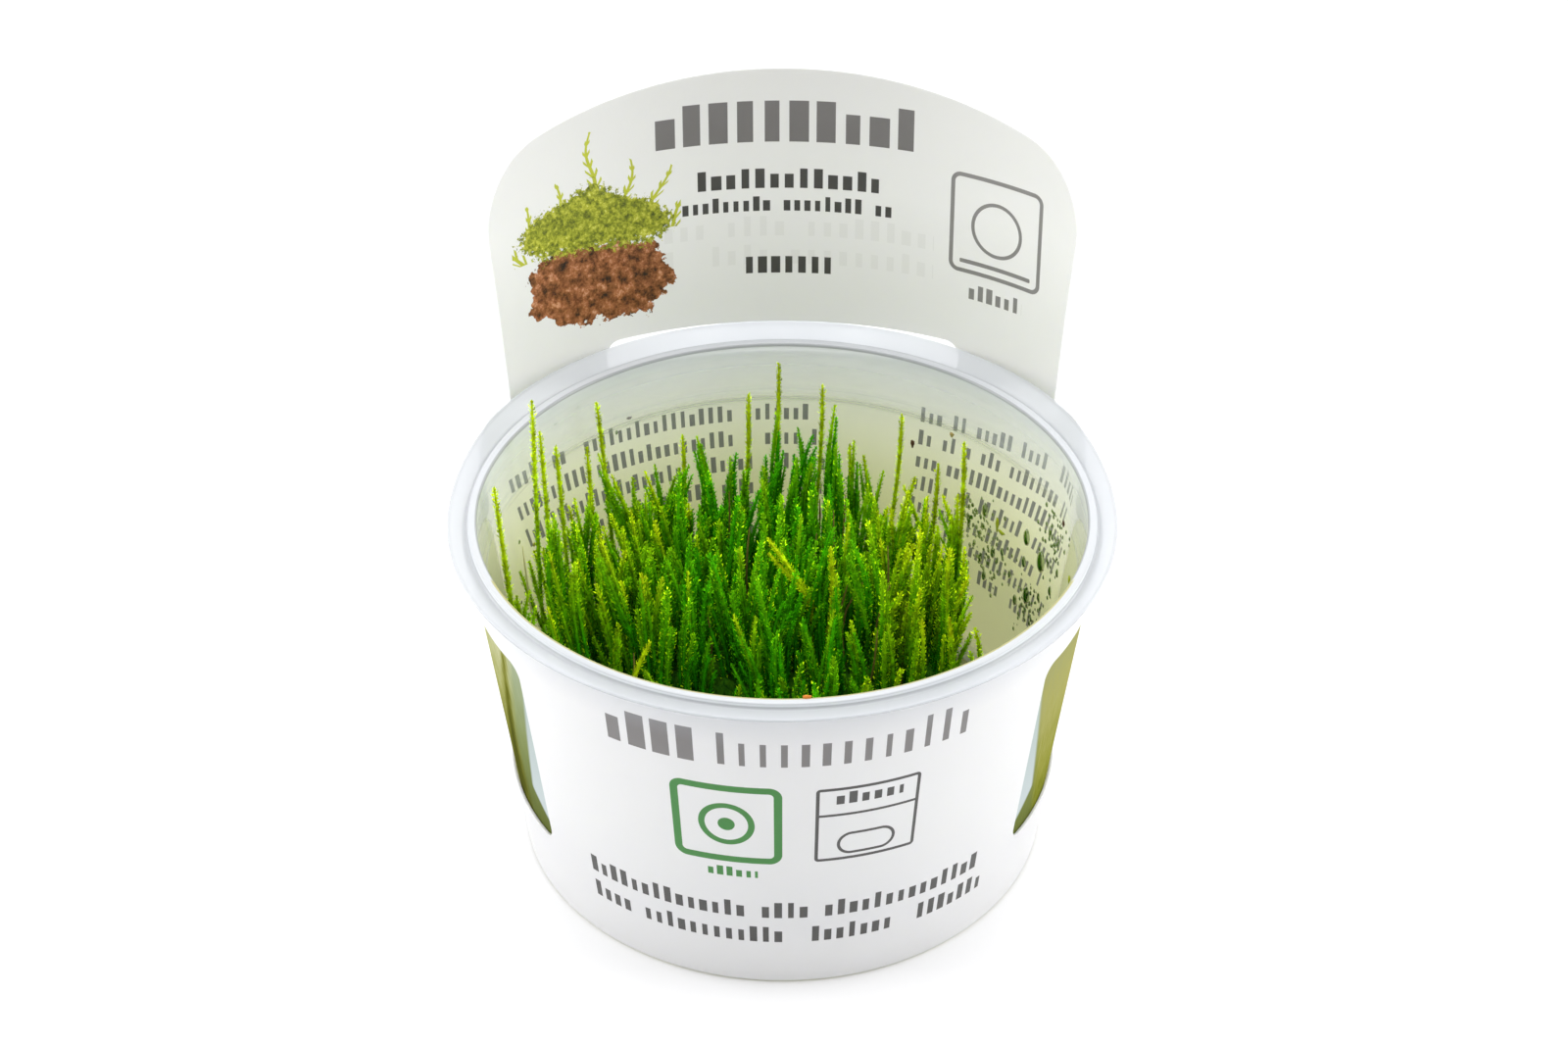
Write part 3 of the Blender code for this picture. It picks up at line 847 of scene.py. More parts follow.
def outer_material(settings):
    """The sheet's outer side: marks and rows of blocks in front, rows behind the header, and a
    painted shadow of the flange along the top edge.
    """
    look, sheet = sheet_look("sheet_outside", settings)
    turned, along = sheet.turned, sheet.along
    heading = either(
        sheet.rows(turned, 53.4, -27.0, -11.6, Height=6.6, Cell=3.75, Fill=0.82, Tall=0.45,
                   Seed=2.0),
        sheet.rows(turned, 53.2, -10.2, 29.2, Height=6.2, Cell=3.0, Fill=0.42, Gaps=0.08,
                   Tall=0.4, Seed=4.0))
    color = sheet.mix(heading, settings.outer, settings.heading)
    square = either(
        sheet.boxed("Line", turned, -8.4, 34.7, 8.4, 8.0, Corner=2.0, Line=1.25),
        sheet.boxed("Line", turned, -8.4, 34.7, 4.3, 4.3, Corner=4.3, Line=1.0),
        sheet.boxed("Fill", turned, -8.4, 34.7, 1.3, 1.3, Corner=1.3),
        sheet.rows(turned, 25.6, -12.0, -3.8, Height=2.0, Fill=0.7, Seed=17.0))
    color = sheet.mix(square, color, settings.green)
    tank = either(
        sheet.boxed("Line", turned, 12.9, 34.6, 8.0, 7.6, Corner=0.7, Line=0.55),
        sheet.boxed("Fill", turned, 12.9, 36.6, 7.6, 0.24, Corner=0.1),
        sheet.boxed("Line", turned, 12.9, 30.4, 4.6, 2.3, Corner=2.3),
        sheet.rows(turned, 41.2, 7.6, 18.2, Height=2.4, Cell=1.9, Fill=0.66, Seed=14.0))
    lines = either(
        sheet.rows(turned, 18.2, -34.5, 38.0, Rows=2.0, Pitch=5.5, Height=3.4, Cell=2.05,
                   Fill=0.66, Gaps=0.13, Tall=0.32, Ragged=2.0, Seed=11.0),
        sheet.back_title(),
        sheet.rows(along, 98.0, -34.0, 34.0, Rows=3.0, Pitch=5.2, Height=3.0, Cell=2.3,
                   Gaps=0.14, Ragged=10.0, Seed=47.0),
        sheet.rows(along, 49.0, -34.0, 34.0, Rows=7.0, Pitch=4.6, Height=2.4, Cell=1.7,
                   Fill=0.62, Gaps=0.16, Ragged=14.0, Seed=53.0))
    color = sheet.mix(either(tank, lines), color, settings.ink)
    # Painted shadow of the flange: a bluish grey band along the top edge.
    under = sheet.up.rise(50.5, 56.5) * (sheet.up < 57.0)
    color = sheet.mix(under * 0.30, color, (0.44, 0.48, 0.54))
    sheet.give(sheet.shader, Base_Color=color)
    return look


def wisps(sheet, middle, aside):
    """Branched wisps that fan out above the tuft. A fan of cells opens from a point below, each
    with a wavy stem that thins towards its top, and short side branches that slope up from it
    every 1.9 mm. Each wisp's top is lower the farther it stands from the middle."""
    up = sheet.up
    fan = (up - 57.0) / 5.0
    bent = (up * 0.55).of("SINE") * 0.7
    cells = (sheet.along - middle + bent) / fan + 0.5
    cell = cells.of("FLOOR")
    off = abs(cells - cell - 0.5) * fan
    top = sheet.chance(cell, 3.0, 8.0) * -5.0 + 99.0
    left = aside * -0.62 + top - up
    stem = off < left * 0.022 + 0.16
    step = ((off * -1.5 + up) / 1.9).of("FRACT")
    branch = (step < 0.34) * (off < left * 0.14 + 0.25)
    near = up.inside(79.0, 100.0) * aside.inside(-1.0, 15.0) * (left > 0.0)
    return either(stem, branch) * near


def picture(sheet, color):
    """A small printed picture: a yellow-green tuft with wisps over a rough reddish stone. Both
    have a box with round corners for their form, whose distance is roughened by noise."""
    along, place = sheet.along, sheet.place
    middle = -31.5
    slant = (along - middle) * 0.10 + sheet.up
    away = sheet.boxed("Distance", along, middle + 0.3, 72.2, 12.4, 6.4, up=slant, Corner=6.0)
    away = (sheet.noise(place, 260.0, 5.0, 0.65) - 0.5) * 9.0 + away
    stone = sheet.ramp(sheet.noise(place, 620.0, 6.0, 0.75), [
        (0.36, (0.020, 0.008, 0.003)), (0.46, (0.22, 0.075, 0.020)),
        (0.57, (0.48, 0.19, 0.075)), (0.68, (0.78, 0.50, 0.30))])
    color = sheet.mix(away < 0.0, color, stone)

    aside = abs(along - middle)
    gable = (slant - 79.0).of("MAXIMUM") * (aside / 15.0) + slant
    away = sheet.boxed("Distance", along, middle, 83.6, 13.4, 5.7, up=gable, Corner=5.4)
    away = (sheet.noise(place, 1500.0, 4.0, 0.7) - 0.5) * 9.0 + away
    tuft = sheet.ramp(sheet.noise(place, 1100.0, 5.0, 0.75), [
        (0.34, (0.07, 0.085, 0.006)), (0.47, (0.27, 0.31, 0.016)), (0.60, (0.58, 0.58, 0.06)),
        (0.72, (0.80, 0.80, 0.30))])
    color = sheet.mix(wisps(sheet, middle, aside), color, (0.52, 0.55, 0.05))
    return sheet.mix(away < 0.0, color, tuft)


def inner_material(settings):
    """The sheet's inner side: the header's front, and notes on the back that are read through the
    cup. Low down it is olive, for the damp and for painted green light thrown back by the moss, and a
    painted glow stands for light from outside coming through. The header's top and a band at each
    side just above the windows have painted shade."""
    look, sheet = sheet_look("sheet_inside", settings)
    along, up = sheet.along, sheet.up
    low = 1.0 - up.rise(30.0, 56.0)
    # Painted shade: the header's bare sheet is darker towards its top.
    bare = sheet.mix(up.rise(84.0, 104.0), settings.sheet, (0.69, 0.69, 0.69))
    # Olive low down: the damp, with painted green light thrown back by the moss.
    color = sheet.mix(low, bare, settings.inner)
    color = sheet.mix(sheet.back_title() * 0.10, color, (0.35, 0.35, 0.33))
    color = picture(sheet, color)
    title = sheet.rows(along, 98.9, -21.0, 21.6, Height=6.8, Cell=4.3, Fill=0.78, Tall=0.5,
                       Seed=23.0)
    sign = either(
        sheet.boxed("Line", along, 35.9, 82.0, 8.3, 8.4, Corner=1.7, Line=0.7),
        sheet.boxed("Line", along, 35.9, 82.0, 4.6, 4.6, Corner=4.6, Line=0.6),
        sheet.boxed("Fill", along, 35.9, 75.6, 6.4, 0.35, Corner=0.2),
        sheet.rows(along, 71.9, 31.0, 41.0, Height=2.6, Cell=1.6, Fill=0.7, Seed=41.0))
    color = sheet.mix(either(title, sign * 0.85), color, settings.heading)
    small = either(
        sheet.rows(along, 87.6, -14.2, 15.6, Height=3.3, Cell=2.35, Fill=0.76, Seed=29.0),
        sheet.rows(along, 82.9, -16.6, 18.2, Cell=1.65, Fill=0.72, Gaps=0.12, Seed=31.0),
        sheet.rows(along, 72.5, -6.5, 7.9, Height=2.9, Cell=2.15, Fill=0.7, Gaps=0.1, Tall=1.0,
                   Seed=37.0))
    notes = either(
        sheet.rows(along, 46.0, -52.0, 11.5, Rows=7.0, Pitch=4.55, Height=2.9, Cell=1.62,
                   Gaps=0.16, Tall=0.34, Ragged=9.0, Seed=61.0),
        sheet.rows(along, 48.2, 23.5, 62.5, Rows=7.0, Pitch=4.0, Height=2.6, Gaps=0.16,
                   Tall=0.34, Ragged=7.0, Seed=67.0))
    color = sheet.mix(either(small, notes * 0.86), color, settings.ink)
    # Painted shade on a band at each side, just above the windows.
    strip = abs(along).inside(62.0, 100.0) * up.inside(49.2, 57.0)
    color = sheet.mix(strip * 0.6, color, (0.36, 0.37, 0.34))
    # Painted glow for light from outside coming through the sheet.
    glow = (up < 56.0) * (low * 0.25 + 0.19)
    sheet.give(sheet.shader, Base_Color=color, Emission_Color=sheet.mix(glow, BLACK, color),
               Emission_Strength=1.0)
    return look


class JAVAMOSS_OT_sleeve(bpy.types.Operator):
    """Cuts the printed sheet flat, rolls it round the cup and opens its back into the header"""
    bl_idname = "java_moss.sleeve"
    bl_label = "Printed sleeve"

    def execute(self, context):
        settings = context.scene.java_moss_sleeve
        thickness = settings.thickness / MM
        mesh = cut_plate(thickness)
        work = bmesh.new()
        work.from_mesh(mesh)
        ends = [face for face in work.faces
                if all(abs(vert.co.x) > HALF_ROLL - 1e-3 for vert in face.verts)]
        bmesh.ops.delete(work, geom=ends, context="FACES")
        bmesh.ops.remove_doubles(work, verts=work.verts, dist=0.02)
        work.to_mesh(mesh)
        work.free()
        flat = points_of(mesh)
        corners = numbers_of(mesh.loops, "vertex_index", np.int32)
        blank = mesh.uv_layers.new(name="Blank")
        blank.uv.foreach_set("vector", (flat[corners, :2] * 0.01).astype(np.float32).ravel())
        along, height, out = flat.T
        x, y = rolled(along, height, out)
        points = np.stack([x, y, height], axis=-1) * MM
        mesh.vertices.foreach_set("co", points.astype(np.float32).ravel())
        put_values(mesh, "side", out / thickness)
        weld(mesh, 3e-6)
        add_piece(mesh, outer_material(settings), ["label_sleeve"], 40.0)
        mesh.materials.append(inner_material(settings))
        side = numbers_of(mesh.attributes["side"].data, "value")
        corners = numbers_of(mesh.loops, "vertex_index", np.int32)
        starts = numbers_of(mesh.polygons, "loop_start", np.int32)
        inner = np.maximum.reduceat(side[corners], starts) < 0.5
        mesh.polygons.foreach_set("material_index", inner.astype(np.int32))
        return {"FINISHED"}


# Gel

def gel_material():
    """Clear nutrient gel, olive where it is deep, with a soft unevenness."""
    look, n = new_material("nutrient_gel", Roughness=0.12, IOR=1.34, Alpha=0.82)
    place = n.object_place()
    color = n.ramp(n.noise(place, 120.0, 3.0), [(0.3, (0.22, 0.25, 0.07)),
                                                (0.7, (0.42, 0.42, 0.20))])
    n.give(n.shader, Base_Color=color, Normal=n.bump(n.noise(place, 260.0), 0.0003, 0.3))
    return look


class JAVAMOSS_OT_gel(bpy.types.Operator):
    """Pours the gel: a turned disc with a low meniscus against the wall"""
    bl_idname = "java_moss.gel"
    bl_label = "Growth gel"

    def execute(self, context):
        profile = rounded([(0.0, 7.0), (37.0, 7.0), (39.6, 7.05), (40.6, 7.5), (40.85, 7.3),
                           (40.6, 4.4), (39.9, 2.4), (38.4, 1.4), (0.0, 1.35)], 2)
        mesh = turned_mesh("nutrient_gel", profile, 160)
        add_piece(mesh, gel_material(), ["growth_gel"], 60.0)
        return {"FINISHED"}


# Moss

def moss_material(settings, name):
    """Leaves: deep green low down and fresh green above, by the stored age, and yellow-green where
    young. The stored blade value sets each leaf apart from the stem and from its neighbours, and
    the stored warm value says how many of the brightest leaves get a painted yellow highlight.
    Young is -1 on old bare stems and -2 on dry ones."""
    look, n = new_material(name, Roughness=0.6, IOR=1.38, Specular_IOR_Level=0.06)
    age, young, blade, warm = (n.value(key) for key in ("age", "young", "blade", "warm"))
    color = n.mix(age, settings.deep, settings.leaf)
    color = n.mix(young.clamped(), color, settings.tip)
    # Painted highlight: the brightest leaves turn yellow-green, more where warm is high.
    spark = blade.of("POWER", 3.0) * (warm * 0.75 + 0.08)
    color = n.mix(spark.of("MINIMUM", 0.85), color, settings.tip)
    grain = n.noise(n.object_place(), 900.0, 2.0, 0.6)
    shade = (blade * 1.45 + (grain * 2.0 - 0.50)).of("MAXIMUM", 0.08)
    bare = n.mix(young < -1.5, settings.stem, settings.dry)
    n.give(n.shader, Base_Color=n.mix(young < -0.5, n.dimmed(color, shade), bare))
    return look


# The stem's radius and the roots of the leaves are at these shares of a shoot's width. A leaf leans
# out by the first of the two angles at the shoot's tip, and by their sum where the shoot is full.
STEM_SHARE = 0.24
ROOT_SHARE = 0.18
LEAF_LEAN = (24.0, 19.0)
LEAF_TURN = 137.5
KNOT_STEP = 0.75


class Stems:
    """The lines of the shoots' stems. Each is foot + (tip - foot) t + bow sin(pi t) + half a
    crosswise bow sin(2 pi t), with t from 0 at the foot to 1 at the tip."""

    def __init__(self, feet, tips, bows, widths, blunt):
        self.count = len(feet)
        self.feet = feet
        self.reach = tips - feet
        self.length = np.linalg.norm(self.reach, axis=1)[:, None]
        self.bows = bows
        self.sways = np.stack([-bows[:, 1], bows[:, 0], np.zeros(self.count)], axis=-1) * 0.5
        self.widths = widths[:, None]
        self.blunt = blunt

    def line(self, t):
        """Places, headings and two crosswise directions at the shares t of each stem."""
        t = t[..., None]
        feet, reach, bows, sways = (
            each[:, None] for each in (self.feet, self.reach, self.bows, self.sways))
        place = feet + reach * t + bows * np.sin(math.pi * t)
        place = place + sways * np.sin(math.tau * t)
        heading = reach + bows * math.pi * np.cos(math.pi * t)
        heading = unit(heading + sways * math.tau * np.cos(math.tau * t))
        side = unit(np.cross(heading, np.array([0.0, 1.0, 0.02])))
        return place, heading, side, np.cross(heading, side)

    def body(self, t):
        """Share of the full width: it rises over the blunt length behind the tip."""
        return 0.45 + 0.55 * smooth_step((1.0 - t) * self.length / self.blunt)

    def cores(self, sides=4, rings=8):
        """A tapered core with two points along each stem: all the points, and one core's faces."""
        t = np.broadcast_to(np.linspace(0.0, 1.0, rings) ** 0.8, (self.count, rings))
        place, heading, side, front = self.line(t)
        core = self.widths * STEM_SHARE * self.body(t)
        around = np.linspace(0.0, math.tau, sides, endpoint=False)[:, None]
        turn = side[:, :, None] * np.cos(around) + front[:, :, None] * np.sin(around)
        ring = place[:, :, None] + turn * core[:, :, None, None]
        ends = np.stack([place[:, 0] - heading[:, 0] * 0.2, place[:, -1] + heading[:, -1] * 0.2], 1)
        quads = grid_faces(rings, sides, True)
        low = np.arange(sides)
        after = (low + 1) % sides
        last = (rings - 1) * sides
        foot_cap = np.stack([after, low, np.full(sides, rings * sides)], 1)
        tip_cap = np.stack([last + low, last + after, np.full(sides, rings * sides + 1)], 1)
        faces = [quads[:, [0, 1, 2]], quads[:, [0, 2, 3]], foot_cap, tip_cap]
        points = np.concatenate([ring.reshape(self.count, -1, 3), ends], axis=1)
        return points, np.concatenate(faces)

    def leaves(self, many, leafy, settings, rng):
        """Leaves of two triangles in a spiral over the last leafy millimetres, each turned 137.5
        degrees from the last, that swell and shrink in knots 0.75 mm apart. Gives all the points,
        one stem's faces, and how swollen each leaf is, from -1 to 1."""
        below = (np.arange(many) + rng.uniform(0.0, 1.0, (self.count, many))) / many * leafy + 0.1
        knots = np.sin(below * math.tau / KNOT_STEP + rng.uniform(0.0, math.tau, (self.count, 1)))
        t = np.clip(1.0 - below / self.length, 0.02, 0.998)
        place, heading, side, front = self.line(t)
        size = self.body(t)
        spin = np.arange(many) * math.radians(LEAF_TURN)
        spin = spin + rng.uniform(0, math.tau, (self.count, 1))
        spin = spin + rng.normal(0.0, 0.2, t.shape)
        outward = side * np.cos(spin)[..., None] + front * np.sin(spin)[..., None]
        spread = LEAF_LEAN[0] + LEAF_LEAN[1] * size + rng.normal(0.0, 9.0, t.shape)
        spread = np.radians(spread)[..., None]
        along = outward * np.sin(spread) + heading * np.cos(spread)
        across = np.cross(heading, outward)
        face = np.cross(across, along)
        long = settings.leaf_length / MM * (0.5 + 0.5 * size) * rng.uniform(0.7, 1.25, t.shape)
        long = (long * (self.widths / 1.3) * (1.0 + 0.34 * knots))[..., None]
        wide = (settings.leaf_width / MM * 0.5 * (0.6 + 0.4 * size))[..., None]
        root = place + outward * (self.widths * ROOT_SHARE * size)[..., None]
        middle = root + along * long * 0.42 + face * 0.06
        corners = np.stack([root, middle + across * wide, root + along * long,
                            middle - across * wide], axis=2)
        faces = np.arange(many)[:, None, None] * 4 + np.array([[0, 1, 2], [0, 2, 3]])
        return corners.reshape(self.count, -1, 3), faces.reshape(-1, 3), knots


def shoot_mesh(name, feet, tips, bows, widths, tones, warms, settings, rng, leaves, leafy,
               fade=9.0, blunt=1.7):
    """Leafy shoots as one mesh, with the values that the moss material reads. The tone is how
    yellow the tip is, which fades over the length fade."""
    stems = Stems(feet, tips, bows, widths, blunt)
    core_points, core_faces = stems.cores()
    leaf_points, leaf_faces, knots = stems.leaves(leaves, leafy, settings, rng)
    count, per_core = core_points.shape[:2]
    points = np.concatenate([core_points, leaf_points], axis=1)
    faces = np.concatenate([core_faces, leaf_faces + per_core])
    faces = (np.arange(count)[:, None, None] * points.shape[1] + faces).reshape(-1, 3)
    mesh = new_mesh(name, points.reshape(-1, 3) * MM, faces)
    height = points[..., 2]
    put_values(mesh, "age", rise(height, 16.0, 40.0))
    depth = np.maximum(tips[:, 2:3] - height, 0.0)
    young = tones[:, None] * (1.5 - depth / fade)
    bare = tones[:, None] < 0.0
    put_values(mesh, "young", np.where(bare, tones[:, None], np.maximum(young, 0.0)))
    light = rng.uniform(0.3, 1.1, (count, leaves, 1)) ** 1.5 * np.array([0.25, 1.0, 1.2, 1.0])
    light = light * rng.uniform(0.45, 1.30, (count, 1, 1)) * (1.0 + 0.35 * knots)[..., None]
    blade = np.concatenate([np.full((count, per_core), 0.3), light.reshape(count, -1)], axis=1)
    put_values(mesh, "blade", blade)
    put_values(mesh, "warm", np.broadcast_to(warms[:, None], height.shape))
    return mesh


# Millimetres. The lower growth reaches less far on the right, beside the bare strip of the cup.
MOSS_FOOT = 8.0
MAT_RADIUS = 36.6
MAT_RIGHT_SHARE = 0.77
MAT_TOP = 23.0
CANOPY = 44.0
CANOPY_DROP = 16.0
LEAD_SPACE = 2.6
BUNDLE_DROP = 11.0
# The most triangles in one piece of the stand, and the triangles of one stem without its leaves.
PIECE_TRIANGLES = 190000
STEM_TRIANGLES = 64


def canopy(x, y):
    """Height of the shoot tips in millimetres: a low rolling surface that falls away in front."""
    roll = 1.6 * np.sin(0.15 * x + 0.7) + 1.3 * np.cos(0.13 * y - 0.4)
    return CANOPY + roll - 0.05 * np.maximum(x, 0.0) - CANOPY_DROP * smooth_step(-y / 7.0)


class JAVAMOSS_OT_mat(bpy.types.Operator):
    """Makes the dense lower growth that the shoots stand in, as one lumpy closed mound"""
    bl_idname = "java_moss.mat"
    bl_label = "Lower growth"

    def execute(self, context):
        rings, steps = 46, 180
        share = np.linspace(0.0, 1.0, rings)[:, None]
        angles = np.linspace(0.0, math.tau, steps, endpoint=False)
        out = np.minimum(share * 1.45, 1.0)
        drop = np.clip((share - 0.69) / 0.29, 0.0, 1.0)
        under = np.clip((share - 0.98) / 0.02, 0.0, 1.0)
        x = MAT_RADIUS * out * np.sin(angles) * (1.0 - under)
        y = -MAT_RADIUS * out * np.cos(angles) * (1.0 - under)
        x = np.where(x > 0.0, x * MAT_RIGHT_SHARE, x)
        lumps = np.sin(x * 1.9 + y * 0.6) + np.sin(y * 2.3 - x * 0.8)
        lumps = lumps + np.sin(x * 4.1) * np.cos(y * 3.7)
        z = MAT_TOP - 9.0 * smooth_step(-y / 9.0) + 0.8 * lumps * (1.0 - drop)
        z = z + (MOSS_FOOT - z) * drop
        swell = 1.0 + 0.012 * np.sin(angles * 37.0 + z * 0.7) * (drop > 0)
        points = np.stack([x * swell, y * swell, np.broadcast_to(z, x.shape)], axis=-1)
        mesh = new_mesh("lower_growth", points.reshape(-1, 3) * MM,
                        grid_faces(rings, steps, True))
        weld(mesh, 2e-6)
        look, n = new_material("lower_growth", Roughness=0.75, Specular_IOR_Level=0.1)
        stretch = n.add("ShaderNodeMapping")
        n.give(stretch, Vector=n.object_place(), Scale=(1.0, 1.0, 0.16))
        strands = n.noise(n.output(stretch), 1500.0, 4.0, 0.7)
        color = n.ramp(strands, [(0.28, (0.006, 0.040, 0.002)), (0.50, (0.030, 0.150, 0.003)),
                                 (0.66, (0.080, 0.250, 0.005)), (0.80, (0.16, 0.16, 0.03))])
        n.give(n.shader, Base_Color=color, Normal=n.bump(strands, 0.0006, 0.9))
        add_piece(mesh, look)
        return {"FINISHED"}


class JAVAMOSS_OT_stand(bpy.types.Operator):
    """Grows the dense stand. The solid clump's tips that are highest for 2.6 mm round lead a
    bundle of shoots each, whose other shoots end lower and run beside it"""
    bl_idname = "java_moss.stand"
    bl_label = "Moss stand"

    def execute(self, context):
        settings = context.scene.java_moss_moss
        rng = np.random.default_rng(settings.seed)
        solid = cad_points("moss_cushion")
        tips = solid[solid[:, 2] > canopy(solid[:, 0], solid[:, 1]) - 5.0]
        distances = np.hypot(*(tips[:, None, :2] - tips[None, :, :2]).transpose(2, 0, 1))
        highest = np.where(distances < LEAD_SPACE, tips[None, :, 2], 0.0).max(axis=1)
        leads = tips[tips[:, 2] >= highest]
        outer = (leads[:, 0] < -33.0) & (leads[:, 1] > 2.0)
        leads = leads[~outer | (rng.uniform(0.0, 1.0, len(leads)) < 0.7)]
        many = len(leads)
        shape = (many, settings.bundle)
        lower = 0.8 + BUNDLE_DROP * rng.uniform(0.0, 1.0, shape) ** 1.1
        lower[:, 0] = 0.0
        turn = rng.uniform(0.0, math.tau, shape)
        apart = 0.50 + 0.05 * lower
        apart[:, 0] = 0.0
        ring = np.stack([np.cos(turn), np.sin(turn)], axis=-1)
        high = np.empty((*shape, 3))
        high[..., :2] = leads[:, None, :2] + ring * apart[..., None]
        high[..., 2] = np.maximum(leads[:, None, 2] - lower, 20.0)
        low = np.empty((*shape, 3))
        centers = leads[:, :2] * [0.90, 0.97] + rng.normal(0.0, 1.0, (many, 2))
        low[..., :2] = centers[:, None] + ring * rng.uniform(0.6, 1.5, (*shape, 1))
        low[..., 2] = MOSS_FOOT
        bows = np.zeros((*shape, 3))
        bows[..., :2] = rng.normal(0.0, 1.0, (many, 1, 2)) * [1.6, 0.9]
        bows[..., :2] += rng.normal(0.0, 0.28, (*shape, 2))
        sides = rise(np.abs(leads[:, 0] + 2.0), 11.0, 24.0)[:, None]
        right = rise(leads[:, 0], 6.0, 16.0)[:, None]
        tones = np.clip(rng.normal(0.14, 0.18, shape), 0.02, 1.0) + 0.40 * sides
        tones[:, 1:] *= 0.45
        tones += 0.12 * right
        # Warm sets the painted yellow highlights on the leaves: more on the sides, most on the right.
        warms = rng.normal(0.12, 0.26, (many, 1)) + 0.55 * sides + 0.35 * right
        warms = np.broadcast_to(np.clip(warms, 0.0, 1.0), shape)
        widths = rng.uniform(0.95, 1.30, shape)
        high, low, bows = high.reshape(-1, 3), low.reshape(-1, 3), bows.reshape(-1, 3)
        tones, widths, warms = tones.ravel(), widths.ravel(), warms.ravel()
        look = moss_material(settings, "moss_leaves")
        order = np.argsort(high[:, 0])
        each = PIECE_TRIANGLES // (2 * settings.leaves + STEM_TRIANGLES)
        for number, chosen in enumerate(np.array_split(order, math.ceil(len(order) / each)), 1):
            mesh = shoot_mesh(f"moss_stand_{number}", low[chosen], high[chosen], bows[chosen],
                              widths[chosen], tones[chosen], warms[chosen], settings, rng,
                              settings.leaves, 22.0, blunt=1.1)
            add_piece(mesh, look, ["moss_cushion"] if number == 1 else ())
        return {"FINISHED"}


class JAVAMOSS_OT_tall_shoots(bpy.types.Operator):
    """Grows the tall leafy shoots that stand free round the edge, one on each solid shoot"""
    bl_idname = "java_moss.tall_shoots"
    bl_label = "Tall shoots"

    def execute(self, context):
        settings = context.scene.java_moss_moss
        rng = np.random.default_rng(settings.seed + 1)
        names = sorted(name for name in frame["nodes"] if name.startswith("moss_shoot_"))
        feet, tips, bows = [], [], []
        for name in names:
            solid = cad_points(name)
            height = solid[:, 2]
            foot = solid[height < height.min() + 0.6].mean(axis=0)
            tip = solid[height > height.max() - 0.4].mean(axis=0)
            half = 0.5 * (height.min() + height.max())
            middle = solid[np.abs(height - half) < 1.2].mean(axis=0)
            feet.append(foot)
            tips.append(tip)
            bows.append((middle - 0.5 * (foot + tip)) * [1.0, 1.0, 0.0])
        count = len(names)
        tones = rng.uniform(0.75, 1.0, count)
        mesh = shoot_mesh("tall_shoots", np.array(feet), np.array(tips), np.array(bows),
                          np.full(count, 1.2), tones, np.full(count, 0.8), settings, rng, 420,
                          36.0, 30.0)
        add_piece(mesh, moss_material(settings, "moss_young_leaves"), names)
        return {"FINISHED"}


# Each sprig's foot, tip and bow in millimetres, then its tone.
SPRIGS = [
    ((4.6, 5.0, 26.0), (-2.3, 4.0, 49.2), (2.4, 0.0, 1.0), 1.0),
    ((5.2, 5.0, 26.0), (-2.1, 3.5, 46.6), (2.2, 0.0, 1.6), 1.0),
    ((6.4, 5.0, 24.0), (7.4, 4.0, 47.4), (0.9, 0.0, 0.0), 0.9),
    ((-25.5, -10.0, 20.0), (-20.2, -8.0, 38.2), (-0.8, 0.0, 0.0), 0.95),
    ((-38.0, 2.0, 12.0), (-42.9, 3.0, 46.4), (-1.0, 0.0, 0.0), 0.8),
]
# Rows of shoots along the wall: the first and last degrees round from the front, how many there
# are, the tips' mean height in millimetres and the feet's distance from the middle.
EDGES = [(-118.0, -64.0, 20, 38.0, 35.5), (62.0, 98.0, 9, 33.0, 27.0)]


class JAVAMOSS_OT_sprigs(bpy.types.Operator):
    """Adds a bright branched sprig, single small shoots and rows of shoots along the wall"""
    bl_idname = "java_moss.sprigs"
    bl_label = "Sprigs"

    def execute(self, context):
        settings = context.scene.java_moss_moss
        rng = np.random.default_rng(settings.seed + 2)
        feet, tips, bows = (np.array([row[key] for row in SPRIGS]) for key in range(3))
        tones = np.array([row[3] for row in SPRIGS])
        for first, last, many, mean, inner in EDGES:
            turn = np.radians(np.linspace(first, last, many) + rng.normal(0.0, 1.2, many))
            round_way = np.stack([np.sin(turn), -np.cos(turn)], axis=-1)
            high = mean + rng.normal(0.0, 3.2, (many, 1))
            out = inner_wall(high) - rng.uniform(1.3, 3.0, (many, 1))
            tips = np.concatenate([tips, np.concatenate([round_way * out, high], axis=1)])
            low = np.full((many, 1), 9.0)
            feet = np.concatenate([feet, np.concatenate([round_way * inner, low], axis=1)])
            sway = rng.normal(0.0, 0.8, (many, 3)) * [1.0, 1.0, 0.0]
            bows = np.concatenate([bows, sway])
            tones = np.concatenate([tones, rng.uniform(0.3, 0.8, many)])
        count = len(tips)
        mesh = shoot_mesh("moss_sprigs", feet, tips, bows, np.full(count, 1.2), tones,
                          np.full(count, 0.8), settings, rng, 240, 20.0, 24.0)
        add_piece(mesh, moss_material(settings, "moss_sprig_leaves"))
        return {"FINISHED"}


